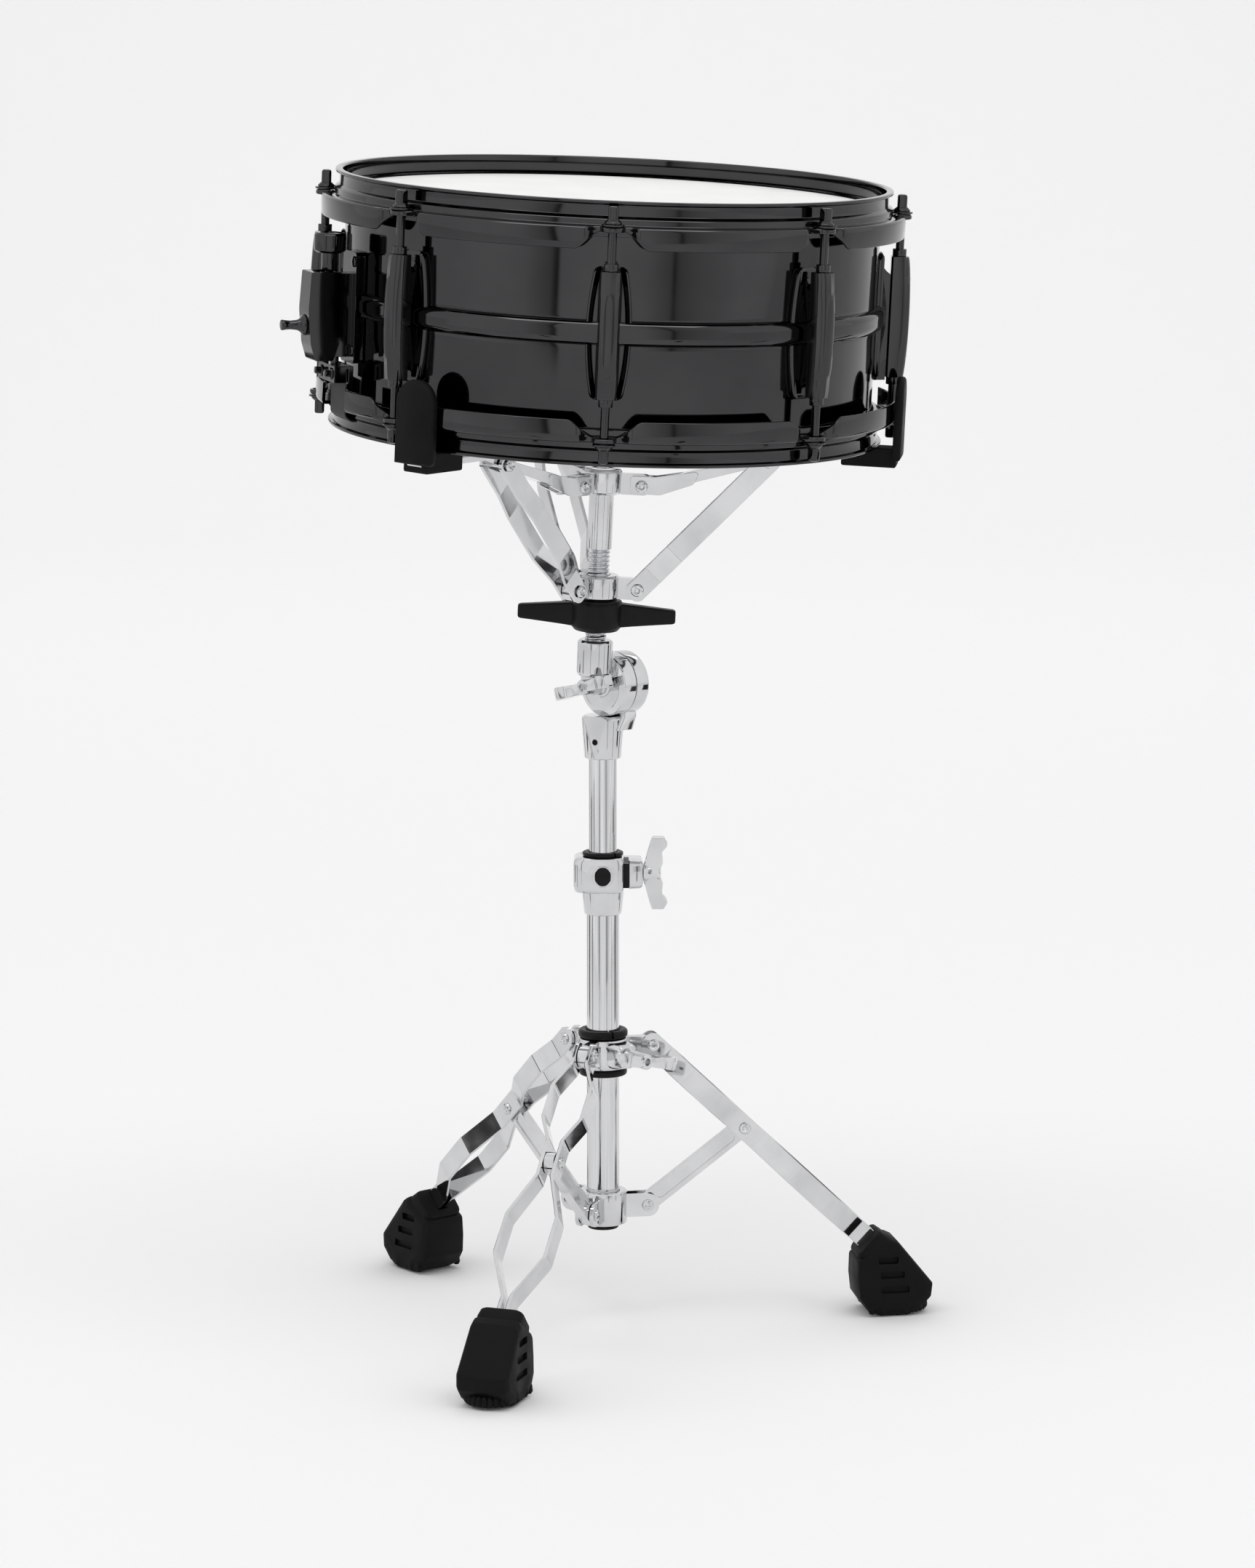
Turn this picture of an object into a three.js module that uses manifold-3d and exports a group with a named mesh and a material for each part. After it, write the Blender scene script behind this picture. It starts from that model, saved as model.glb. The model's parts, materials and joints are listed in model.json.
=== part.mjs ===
// A 14 x 5.5 inch snare drum held by a folding tripod stand with a three-armed basket.
// Millimetres, +Z up. The feet rest on z = 0 and the origin is under the middle of the whole object.
// Pieces set around an axis are modelled in a radial frame: +X points outwards, +Y runs along the ring.

import * as THREE from "three";
import { mergeVertices } from "three/addons/utils/BufferGeometryUtils.js";
import Module from "manifold-3d";

const wasm = await Module();
wasm.setup();

// ---------------------------------------------------------------- driving dimensions

const GAP = 0.3; // between pieces that touch
const RUN = 0.5; // running clearance beside a pivot

// Drum, measured from the plane of its lower rim.
const DRUM_HEIGHT = 167;
const SHELL_RADIUS = 176.5;
const SHELL_WALL = 1.5;
const SHELL_BOTTOM = 13.7;
const BEAD_RISE = 5.3;
const BEAD_HALF = 8;
const ROD_CIRCLE = 190;
const LUG_COUNT = 8;
const LUG_LENGTH = 80;
const ROUND = 40; // sides of the drum's rings
const TUBE_SIDES = 20;
const HOOP_BAND_RADIUS = 193;
const HOOP_SHEET = 2.3;
const SHELF_TOP = 151.5; // upper face of the top hoop's shelf
const HOLE_RADIUS = 3.4; // clears a tension rod
const TENSION_ROD_RADIUS = 2.75;
const STRAINER_AZIMUTH = 202.5;
const GATE_HALF = 23;
const STRAP_HALF = 14;
const STRAP_INNER = 187.5;
const STRAP_OUTER = 188.5;

// Column.
const BASE_TUBE_RADIUS = 11.1;
const BASE_TUBE_BORE = 9.9;
const BASE_TUBE_BOTTOM = 71;
const BASE_TUBE_TOP = 300;
const UPPER_TUBE_RADIUS = 9.525;
const UPPER_TUBE_BORE = 8;
const UPPER_TUBE_BOTTOM = 150;
const UPPER_TUBE_TOP = 412;
const SLIDE_BORE = 11.4;
const CLAMP_BOTTOM = 288;
const CLAMP_TOP = 328;

// Tripod, in the plane of one leg: X outwards from the column, Z up.
const LEG_AZIMUTHS = [10, 130, 250];
const COLLAR_WING_AZIMUTH = 310;
const LEG_PIVOT = [34, 196];
const LEG_SLOPE = 43.5;
const LEG_LENGTH = 236;
const LEG_TO_BRACE = 88;
const LEG_HALF_HEIGHT = 7.5;
const STRIP = 2.4;
const STRUT_PIVOT = [30, 84];
const EAR_HALF = 3.4; // half the width of an ear that sits between two strips
const PIN_RADIUS = 3;

// Tilter. Its axis points towards azimuth 225 degrees.
const TILT_CENTRE = [8, 0, 446];
const TILT_AZIMUTH = 225;
const LEAN = 3.5;
const DISC_RADIUS = 22;
const DISC_DEPTH = 13;
const SPINDLE_OFFSET = 20;

// Basket, measured along the spindle from the tilt axis.
const ARM_AZIMUTHS = [232.5, 352.5, 112.5];
const SOCKET_TOP = 32;
const SPINDLE_RADIUS = 7.5;
const SLEEVE_RADIUS = 8.3;
const NUT_BOTTOM = 38.5;
const NUT_TOP = 59.2;
const HUB_PIVOT = [27.5, 138];
const SLIDER_PIVOT = [27.5, 68];
const LINK_END = [112, 160];
const ARM_HALF_WIDTH = 6.2;
const DRUM_SEAT = 174;
const GRIP_INNER = 193.4;

// ---------------------------------------------------------------- finishes

const FINISHES = {
  blackNickel: { color: 0x26272a, roughness: 0.18, metalness: 0.9 },
  chrome: { color: 0xdfe2e5, roughness: 0.08, metalness: 1 },
  rubber: { color: 0x17181a, roughness: 0.75, metalness: 0 },
  plastic: { color: 0x1b1c1e, roughness: 0.45, metalness: 0 },
  drumhead: { color: 0xf1f1ee, roughness: 0.6, metalness: 0 },
};

// ---------------------------------------------------------------- solids

// A closed triangle list with shared corners and no folded triangles.
function sharedCorners(geometry) {
  const bare = geometry.clone();
  bare.deleteAttribute("normal");
  bare.deleteAttribute("uv");
  const merged = mergeVertices(bare, 1e-4);
  const corners = merged.index.array;
  const faces = [];
  for (let i = 0; i < corners.length; i += 3) {
    const [a, b, c] = [corners[i], corners[i + 1], corners[i + 2]];
    if (a !== b && b !== c && c !== a) faces.push(a, b, c);
  }
  return { vertices: new Float32Array(merged.attributes.position.array), faces };
}

function toSolid(geometry) {
  const { vertices, faces } = sharedCorners(geometry);
  return new wasm.Manifold(
    new wasm.Mesh({ numProp: 3, vertProperties: vertices, triVerts: new Uint32Array(faces) }),
  );
}

function toGeometry(solid) {
  const mesh = solid.getMesh();
  const geometry = new THREE.BufferGeometry();
  geometry.setAttribute("position", new THREE.BufferAttribute(new Float32Array(mesh.vertProperties), 3));
  geometry.setIndex(new THREE.BufferAttribute(new Uint32Array(mesh.triVerts), 1));
  return geometry;
}

function join(...shapes) {
  return toGeometry(shapes.map(toSolid).reduce((whole, next) => whole.add(next)));
}

function cut(shape, ...tools) {
  return toGeometry(tools.map(toSolid).reduce((whole, tool) => whole.subtract(tool), toSolid(shape)));
}

function block([x0, x1], [y0, y1], [z0, z1]) {
  const box = new THREE.BoxGeometry(x1 - x0, y1 - y0, z1 - z0);
  return box.translate((x0 + x1) / 2, (y0 + y1) / 2, (z0 + z1) / 2);
}

// An outline of [radius, height] points turned about Z, up the outside and down the inside.
function turned(outline, sides) {
  const points = outline.map(([radius, height]) => new THREE.Vector2(radius, height));
  return new THREE.LatheGeometry(points, sides).rotateX(Math.PI / 2);
}

function disc(radius, [z0, z1], sides = 12) {
  return turned([[0, z0], [radius, z0], [radius, z1], [0, z1]], sides);
}

function ring(outer, inner, [z0, z1], sides = TUBE_SIDES) {
  return turned([[inner, z0], [outer, z0], [outer, z1], [inner, z1], [inner, z0]], sides);
}

// A round bar along X, and one along Y at a point of the XZ plane.
function barX(radius, [x0, x1], z = 0, sides = 8) {
  return disc(radius, [x0, x1], sides).rotateY(Math.PI / 2).translate(0, 0, z);
}

function barY(radius, [y0, y1], [x, z] = [0, 0], sides = 8) {
  return disc(radius, [y0, y1], sides).rotateX(-Math.PI / 2).translate(x, 0, z);
}

// An outline of [x, y] points given a thickness along Z.
function plan(outline, [z0, z1]) {
  const shape = new THREE.Shape(outline.map(([x, y]) => new THREE.Vector2(x, y)));
  const plate = new THREE.ExtrudeGeometry(shape, { depth: z1 - z0, bevelEnabled: false });
  return plate.translate(0, 0, z0);
}

// An outline of [x, z] points given a thickness along Y.
function profile(outline, [y0, y1]) {
  return plan(outline, [-y1, -y0]).rotateX(Math.PI / 2);
}

function mirrored([near, far]) {
  return [[near, far], [-far, -near]];
}

// A mesh with its own material, added to a group.
function piece(group, name, finish, geometry) {
  const mesh = new THREE.Mesh(geometry, new THREE.MeshStandardMaterial(FINISHES[finish]));
  mesh.name = name;
  group.add(mesh);
}

// A frame turned about Z so that its +X points to an azimuth in degrees.
function radialFrame(parent, azimuth, [x, y, z] = [0, 0, 0]) {
  const frame = new THREE.Group();
  frame.position.set(x, y, z);
  frame.rotation.z = THREE.MathUtils.degToRad(azimuth);
  parent.add(frame);
  return frame;
}

// A frame inside a radial one, at a pivot [x, z], its +X turned up by an angle in degrees.
function pivotFrame(parent, [x, z], rise) {
  const frame = new THREE.Group();
  frame.position.set(x, 0, z);
  frame.rotation.y = -THREE.MathUtils.degToRad(rise);
  parent.add(frame);
  return frame;
}

// ---------------------------------------------------------------- drum

function shellGeometry() {
  const top = DRUM_HEIGHT - SHELL_BOTTOM;
  const middle = DRUM_HEIGHT / 2;
  const inner = SHELL_RADIUS - SHELL_WALL;
  return turned(
    [
      [inner, SHELL_BOTTOM],
      [SHELL_RADIUS, SHELL_BOTTOM],
      [SHELL_RADIUS, middle - BEAD_HALF],
      [SHELL_RADIUS + BEAD_RISE, middle - BEAD_HALF / 3],
      [SHELL_RADIUS + BEAD_RISE, middle + BEAD_HALF / 3],
      [SHELL_RADIUS, middle + BEAD_HALF],
      [SHELL_RADIUS, top],
      [inner, top],
      [inner, SHELL_BOTTOM],
    ],
    ROUND,
  );
}

// The film over the bearing edge and the flesh hoop that carries it, as one cup.
function headGeometry() {
  const edge = DRUM_HEIGHT - SHELL_BOTTOM + GAP;
  const film = 0.6;
  return turned(
    [
      [0, edge], [177.4, edge], [177.6, 144], [181.6, 144], [181.6, 153.1],
      [178, edge + film], [0, edge + film],
    ],
    ROUND,
  );
}

// A triple-flanged hoop: a rolled lip, a wall, a shelf over the flesh hoop and an outer band.
function hoopRing() {
  const shelfUnder = SHELF_TOP - HOOP_SHEET;
  const bandInner = HOOP_BAND_RADIUS - HOOP_SHEET;
  return turned(
    [
      [bandInner, 137],
      [HOOP_BAND_RADIUS, 137],
      [HOOP_BAND_RADIUS, SHELF_TOP],
      [184.3, SHELF_TOP],
      [184.3, 155.5],
      [181.3, 157.5],
      [181.3, 164.7],
      [184, 165.4],
      [184, DRUM_HEIGHT],
      [179, DRUM_HEIGHT],
      [179, 156.3],
      [182, 154.5],
      [182, shelfUnder],
      [bandInner, shelfUnder],
      [bandInner, 137],
    ],
    ROUND,
  );
}

// The band is cut away around each rod, where the shelf becomes a round ear.
function hoopGeometry() {
  const shelfUnder = SHELF_TOP - HOOP_SHEET;
  const openings = lugAngles().map((angle) =>
    block([185, 196], [-13, 13], [136, shelfUnder]).rotateZ(angle),
  );
  const ears = lugAngles().map((angle) =>
    disc(7, [shelfUnder, SHELF_TOP], 8).translate(ROD_CIRCLE - 0.5, 0, 0).rotateZ(angle),
  );
  const holes = lugAngles().map((angle) =>
    disc(HOLE_RADIUS, [shelfUnder - 1, SHELF_TOP + 1], 8).translate(ROD_CIRCLE, 0, 0).rotateZ(angle),
  );
  return cut(join(cut(hoopRing(), ...openings), ...ears), ...holes);
}

function lugAngles() {
  return Array.from({ length: LUG_COUNT }, (_, index) => (index * 2 * Math.PI) / LUG_COUNT);
}

// Turned end for end, so that a top piece becomes the bottom one.
function flipped(geometry) {
  return geometry.clone().rotateX(Math.PI).translate(0, 0, DRUM_HEIGHT);
}

function bottomHoopGeometry() {
  const gates = [STRAINER_AZIMUTH, STRAINER_AZIMUTH - 180].map((azimuth) =>
    block([176, 199], [-GATE_HALF, GATE_HALF], [3.6, 31]).rotateZ(THREE.MathUtils.degToRad(azimuth)),
  );
  return cut(flipped(hoopGeometry()), ...gates);
}

// A cast tube lug in its radial frame: foot on the shell, thin web, and the barrel round the rods.
function lugGeometry() {
  const middle = DRUM_HEIGHT / 2;
  const end = LUG_LENGTH / 2;
  const footOutline = [];
  for (let step = 0; step < 16; step += 1) {
    const angle = (step * Math.PI) / 8;
    footOutline.push([13 * Math.cos(angle), end * Math.sin(angle)]);
  }
  const foot = plan(footOutline, [0, 3.2]).rotateY(Math.PI / 2).rotateX(Math.PI / 2);
  const barrel = profile(
    [[184, -end], [196, -end], [198.5, -end + 14], [198.5, end - 14], [196, end], [184, end]],
    [-6, 6],
  );
  const body = join(
    foot.translate(SHELL_RADIUS + 0.5, 0, middle),
    block([179, 185], [-4, 4], [middle - 32, middle + 32]),
    barrel.translate(0, 0, middle),
  );
  const beadNotch = block([170, SHELL_RADIUS + BEAD_RISE + 0.7], [-20, 20], [middle - 9.5, middle + 9.5]);
  const bore = disc(HOLE_RADIUS, [middle - end - 1, middle + end + 1], 8).translate(ROD_CIRCLE, 0, 0);
  return cut(body, beadNotch, bore);
}

// The upper and lower tension rods of one lug, joined by the threaded insert inside its barrel.
function rodPairGeometry() {
  const seat = SHELF_TOP + GAP;
  const lowSeat = DRUM_HEIGHT - seat;
  const nut = (z0, z1) => disc(5.8, [z0, z1], 6);
  const head = join(
    disc(5.4, [seat, seat + 3.4], 8),
    block([-3.2, 3.2], [-3.2, 3.2], [seat + 3, seat + 12.5]),
  );
  const lugTop = DRUM_HEIGHT / 2 + LUG_LENGTH / 2 + GAP;
  const shaft = disc(TENSION_ROD_RADIUS, [lowSeat - 1, seat + 1], 6);
  const lowNut = nut(DRUM_HEIGHT - lugTop - 4.5, DRUM_HEIGHT - lugTop);
  const pair = join(shaft, head, flipped(head), nut(lugTop, lugTop + 4.5), lowNut);
  return pair.translate(ROD_CIRCLE, 0, 0);
}

function bracketPlate(half, [z0, z1]) {
  return block([SHELL_RADIUS + 0.9, 184], [-half, half], [z0, z1]);
}

function beadRelief() {
  const middle = DRUM_HEIGHT / 2;
  return block([170, SHELL_RADIUS + BEAD_RISE + 0.7], [-30, 30], [middle - 9.5, middle + 9.5]);
}

// Throw-off housing: a plate on the shell and a block with the lever's pivot and two blind bores.
function strainerHousingGeometry() {
  const body = join(bracketPlate(13, [46, 118]), block([180, 205], [-6.5, 6.5], [50, 104]));
  return cut(
    body,
    beadRelief(),
    barY(2.9, [-8, 8], [200, 54]),
    disc(3.1, [45, 66], 8).translate(191.5, 0, 0),
    disc(3.3, [84, 105], 8).translate(197, 0, 0),
  );
}

// The shield-shaped lever swings out about the pin near its foot, and carries the trumpet handle.
function strainerLeverGeometry() {
  const outline = [
    [191.5, 105], [191.5, 60], [196, 47.5], [208, 47.5], [211.5, 62], [214, 84], [212.5, 105],
  ];
  const shield = profile(outline, [-9.8, 9.8]);
  const hollow = block([190, 206.5], [-7, 7], [45, 107]);
  const handle = turned([[0, 0], [6, 0], [3.4, 6], [3, 12], [3.3, 18], [0, 18]], 8);
  return join(
    cut(shield, hollow),
    barY(2.5, [-8, 8], [200, 54]),
    handle.rotateY(Math.PI / 2).translate(211, 0, 70),
  );
}

function strainerKnobGeometry() {
  const knob = join(disc(10.5, [117, 130], 16), disc(5.2, [105.5, 118], 8), disc(2.9, [86, 106], 8));
  return knob.translate(197, 0, 0);
}

// The block that grips the strap under the throw-off and slides with a stem in its housing.
function strainerClampGeometry() {
  const jaws = join(
    block([183.8, 197], [-16, 16], [34, 45]),
    disc(2.7, [44, 64], 8).translate(191.5, 0, 0),
  );
  return cut(jaws, block([187, 189], [-17, 17], [33, 42.9]));
}

function buttPlateGeometry() {
  const body = join(bracketPlate(16, [34, 74]), block([180, 197], [-16, 16], [34, 50]));
  return cut(body, block([187, 189], [-17, 17], [33, 43.5]));
}

// The snare strands with their end plates, and the straps that leave through the hoop's gates.
function snareWiresGeometry() {
  const strap = profile(
    [[145, 9.8], [185.5, 9], [STRAP_OUTER, 10.4], [STRAP_OUTER, 42.4], [STRAP_INNER, 42.4],
      [STRAP_INNER, 11.2], [185.5, 10], [145, 10.8]],
    [-STRAP_HALF, STRAP_HALF],
  );
  return join(
    block([-146, 146], [-20.5, 20.5], [9.6, 12.3]),
    strap,
    strap.clone().rotateZ(Math.PI),
  );
}

function addDrum(group) {
  piece(group, "shell", "blackNickel", shellGeometry());
  piece(group, "batter_head", "drumhead", headGeometry());
  piece(group, "snare_side_head", "drumhead", flipped(headGeometry()));
  piece(group, "top_hoop", "blackNickel", hoopGeometry());
  piece(group, "bottom_hoop", "blackNickel", bottomHoopGeometry());
  for (let index = 0; index < LUG_COUNT; index += 1) {
    const frame = radialFrame(group, (index * 360) / LUG_COUNT);
    piece(frame, `lug_${index + 1}`, "blackNickel", lugGeometry());
    piece(frame, `tension_rods_${index + 1}`, "blackNickel", rodPairGeometry());
  }
  const strainer = radialFrame(group, STRAINER_AZIMUTH);
  piece(strainer, "strainer_housing", "blackNickel", strainerHousingGeometry());
  piece(strainer, "strainer_lever", "blackNickel", strainerLeverGeometry());
  piece(strainer, "strainer_knob", "blackNickel", strainerKnobGeometry());
  piece(strainer, "strainer_clamp", "blackNickel", strainerClampGeometry());
  piece(strainer, "snare_wires", "chrome", snareWiresGeometry());
  piece(radialFrame(group, STRAINER_AZIMUTH - 180), "butt_plate", "blackNickel", buttPlateGeometry());
}

// ---------------------------------------------------------------- wing bolts

// A bolt along +X: shaft to the seat, then a hub with two swept wings in the XZ plane.
function wingBoltGeometry(shaftStart, seat, hubLength, turnDegrees = 0) {
  const end = seat + hubLength;
  const wings = profile(
    [
      [end - 12, -4], [end - 8, -23], [end + 1, -25], [end + 4, -21], [end + 1, -12], [end, -4],
      [end, 4], [end + 1, 12], [end + 4, 21], [end + 1, 25], [end - 8, 23], [end - 12, 4],
    ],
    [-2.2, 2.2],
  );
  const bolt = join(barX(PIN_RADIUS, [shaftStart, seat + 1]), barX(6.2, [seat, end], 0, 12), wings);
  return bolt.rotateX(THREE.MathUtils.degToRad(turnDegrees));
}

// ---------------------------------------------------------------- tripod

// Two strips that part and meet again: [x, half gap] points for their inner faces.
function stripPair(gaps, halfHeight) {
  const outer = gaps.map(([x, gap]) => [x, gap + STRIP]).reverse();
  const strip = plan([...gaps, ...outer], [-halfHeight, halfHeight]);
  const other = strip.clone().rotateX(Math.PI);
  return [strip, other];
}

function rivetHeads(x, inner, outer, radius = 4.4) {
  return mirrored([inner, outer]).map((span) => barY(radius, span, [x, 0]));
}

function legGeometry() {
  const inner = EAR_HALF + RUN;
  const gaps = [
    [-8, inner], [12, inner], [30, 12.5], [56, 12.5], [74, inner], [102, inner],
    [134, 18], [168, 18], [200, -0.5], [LEG_LENGTH, -0.5],
  ];
  return join(
    ...stripPair(gaps, LEG_HALF_HEIGHT),
    barY(PIN_RADIUS, [-inner - 1, inner + 1]),
    ...rivetHeads(0, inner + 1, inner + STRIP + 1.4),
    ...rivetHeads(LEG_TO_BRACE, inner + 1, inner + STRIP + 1.4),
  );
}

// The rubber boot in the plane of the leg, with a pocket for the end of the strips.
function footGeometry() {
  const outline = [
    [175.5, 25], [177.5, 12], [183, 4.5], [192, 0], [212, 0], [221, 4.5], [229, 13], [230, 22],
    [205, 52], [199, 55], [176, 40],
  ];
  const pocket = block([196, LEG_LENGTH + GAP], [-2.4, 2.4], [-7.9, 7.9])
    .rotateY(THREE.MathUtils.degToRad(LEG_SLOPE))
    .translate(LEG_PIVOT[0], 0, LEG_PIVOT[1]);
  const throat = block([196, 207], [-6, 6], [-7.9, 7.9])
    .rotateY(THREE.MathUtils.degToRad(LEG_SLOPE))
    .translate(LEG_PIVOT[0], 0, LEG_PIVOT[1]);
  return cut(profile(outline, [-19, 19]), pocket, throat);
}

function strutGeometry(length) {
  const bar = join(
    block([0, length], [-EAR_HALF, EAR_HALF], [-6.2, 6.2]),
    barY(6.2, [-EAR_HALF, EAR_HALF]),
    barY(6.2, [-EAR_HALF, EAR_HALF], [length, 0]),
  );
  const channel = block([10, length - 10], [-2, 2], [-8, 4.4]);
  return cut(bar, barY(PIN_RADIUS + 0.4, [-5, 5]), channel);
}

function lowerBracketGeometry() {
  const inner = EAR_HALF + RUN;
  const ears = LEG_AZIMUTHS.flatMap((azimuth) => {
    const plates = mirrored([inner, inner + 2.2]).map((span) => block([13, 38], span, [76, 92]));
    const pin = barY(PIN_RADIUS, [-inner - 3.4, inner + 3.4], STRUT_PIVOT);
    return [...plates, pin].map((shape) => shape.rotateZ(THREE.MathUtils.degToRad(azimuth)));
  });
  return join(ring(16.5, SLIDE_BORE, [72, 95]), ...ears);
}

function legCollarGeometry() {
  const ears = LEG_AZIMUTHS.map((azimuth) =>
    cut(
      block([15.5, 41], [-EAR_HALF, EAR_HALF], [187, 202]),
      barY(PIN_RADIUS + 0.4, [-5, 5], LEG_PIVOT),
    ).rotateZ(THREE.MathUtils.degToRad(azimuth)),
  );
  const boss = block([15.5, 27], [-8, 8], [184, 200]);
  const bore = barX(HOLE_RADIUS, [19, 28], 192);
  const wingSide = THREE.MathUtils.degToRad(COLLAR_WING_AZIMUTH);
  return join(ring(18, 13.8, [181, 202]), ...ears, cut(boss, bore).rotateZ(wingSide));
}

function collarBushingGeometry() {
  return turned(
    [
      [SLIDE_BORE, 176], [16.5, 176], [16.5, 180.7], [13.5, 180.7], [13.5, 202.3], [17, 202.3],
      [17, 208], [SLIDE_BORE, 208], [SLIDE_BORE, 176],
    ],
    TUBE_SIDES,
  );
}

function addTripod(group) {
  piece(group, "base_tube", "chrome",
    ring(BASE_TUBE_RADIUS, BASE_TUBE_BORE, [BASE_TUBE_BOTTOM, BASE_TUBE_TOP]));
  piece(group, "lower_bracket", "chrome", lowerBracketGeometry());
  piece(group, "leg_collar", "chrome", legCollarGeometry());
  piece(group, "collar_bushing", "plastic", collarBushingGeometry());
  const collarWing = radialFrame(group, COLLAR_WING_AZIMUTH, [0, 0, 192]);
  piece(collarWing, "collar_wing_bolt", "chrome", wingBoltGeometry(20, 27.5, 20, 80));
  const slope = THREE.MathUtils.degToRad(LEG_SLOPE);
  const brace = [
    LEG_PIVOT[0] + LEG_TO_BRACE * Math.cos(slope) - STRUT_PIVOT[0],
    LEG_PIVOT[1] - LEG_TO_BRACE * Math.sin(slope) - STRUT_PIVOT[1],
  ];
  const strutRise = THREE.MathUtils.radToDeg(Math.atan2(brace[1], brace[0]));
  LEG_AZIMUTHS.forEach((azimuth, index) => {
    const frame = radialFrame(group, azimuth);
    piece(pivotFrame(frame, LEG_PIVOT, -LEG_SLOPE), `leg_${index + 1}`, "chrome", legGeometry());
    piece(frame, `foot_${index + 1}`, "rubber", footGeometry());
    const strut = strutGeometry(Math.hypot(...brace));
    piece(pivotFrame(frame, STRUT_PIVOT, strutRise), `strut_${index + 1}`, "chrome", strut);
  });
}

// ---------------------------------------------------------------- column

// A cast clamp on the base tube, slotted beside the bore and pulled together by the wing bolt.
function heightClampGeometry() {
  const body = join(
    block([-20, 20], [-17, 17], [304, CLAMP_TOP]),
    block([18, 27], [-12, 12], [306, 326]),
    turned([[0, CLAMP_BOTTOM], [13, CLAMP_BOTTOM], [14.3, 305], [0, 305]], TUBE_SIDES),
  );
  return cut(
    body,
    disc(SLIDE_BORE, [CLAMP_BOTTOM - 1, CLAMP_TOP + 1], TUBE_SIDES),
    block([15.3, 17.3], [-18, 9], [303, CLAMP_TOP + 1]),
    barX(HOLE_RADIUS, [16.5, 28], 316),
  );
}

function clampBushingGeometry() {
  return turned(
    [
      [BASE_TUBE_BORE, BASE_TUBE_TOP + GAP], [11.1, BASE_TUBE_TOP + GAP], [11.1, CLAMP_TOP + GAP],
      [14, CLAMP_TOP + GAP], [14, 331], [BASE_TUBE_BORE, 331], [BASE_TUBE_BORE, BASE_TUBE_TOP + GAP],
    ],
    TUBE_SIDES,
  );
}

// The lower half of the tilter: socket on the tube, neck, and the rear ratchet disc.
function tilterLowerGeometry() {
  const [x, , z] = TILT_CENTRE;
  const turn = THREE.MathUtils.degToRad(TILT_AZIMUTH);
  const socket = turned([[0, 395], [13, 395], [14.5, 423], [12, 424], [0, 424]], TUBE_SIDES);
  const neck = block([-DISC_DEPTH, -0.6], [-11, 8], [414, 440]).rotateZ(turn).translate(x, 0, 0);
  const rear = barX(DISC_RADIUS, [-DISC_DEPTH, -0.2], 0, 24).rotateZ(turn).translate(x, 0, z);
  const bolt = barX(HOLE_RADIUS, [-DISC_DEPTH - 1, 1]).rotateZ(turn).translate(x, 0, z);
  return cut(join(socket, neck, rear), disc(9.85, [394, UPPER_TUBE_TOP + GAP], TUBE_SIDES), bolt);
}

function addColumn(group) {
  piece(group, "height_clamp", "chrome", heightClampGeometry());
  piece(group, "clamp_bushing", "plastic", clampBushingGeometry());
  piece(radialFrame(group, 0, [0, 0, 316]), "clamp_wing_bolt", "chrome", wingBoltGeometry(18, 27.4, 12));
  piece(group, "upper_tube", "chrome",
    ring(UPPER_TUBE_RADIUS, UPPER_TUBE_BORE, [UPPER_TUBE_BOTTOM, UPPER_TUBE_TOP]));
  piece(group, "tilter_lower", "chrome", tilterLowerGeometry());
}

// ---------------------------------------------------------------- basket

// The upper half of the tilter, +X along its axis: front ratchet disc and the spindle's socket.
function tilterUpperGeometry() {
  const body = join(
    barX(DISC_RADIUS, [0.2, DISC_DEPTH], 0, 24),
    block([2, SPINDLE_OFFSET], [-9, 9], [9, 20]),
    disc(12, [7.5, SOCKET_TOP], 16).translate(SPINDLE_OFFSET, 0, 0),
  );
  return cut(
    body,
    barX(HOLE_RADIUS, [-1, DISC_DEPTH + 1]),
    disc(7.9, [11.7, SOCKET_TOP + 1], 16).translate(SPINDLE_OFFSET, 0, 0),
  );
}

// The threaded spindle with its plain upper sleeve and the hub that carries the arms.
function spindleGeometry() {
  const ears = ARM_AZIMUTHS.map((azimuth) =>
    cut(
      block([10, 35], [-EAR_HALF, EAR_HALF], [131.5, 145.5]),
      barY(2.9, [-5, 5], HUB_PIVOT),
    ).rotateZ(THREE.MathUtils.degToRad(azimuth)),
  );
  return join(
    disc(SPINDLE_RADIUS, [12, 96], 16),
    disc(SLEEVE_RADIUS, [94, 134], 16),
    disc(13.5, [131, 148], 16),
    ...ears,
  );
}

function sliderGeometry() {
  const ears = ARM_AZIMUTHS.map((azimuth) =>
    cut(
      block([12, 35], [-EAR_HALF, EAR_HALF], [60.5, 75.5]),
      barY(2.9, [-5, 5], SLIDER_PIVOT),
    ).rotateZ(THREE.MathUtils.degToRad(azimuth)),
  );
  return join(ring(14.5, 8.2, [NUT_TOP + GAP, 76.5], 16), ...ears);
}

// The black tee nut under the slider.
function basketNutGeometry() {
  const outline = [[14, 41], [52, 44.5], [53, 47], [53, 52], [52, 54], [14, 57]];
  const arm = profile(outline, [-4.5, 4.5]);
  return join(ring(17.5, 8.2, [NUT_BOTTOM, NUT_TOP], 16), arm, arm.clone().rotateZ(Math.PI));
}

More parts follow.
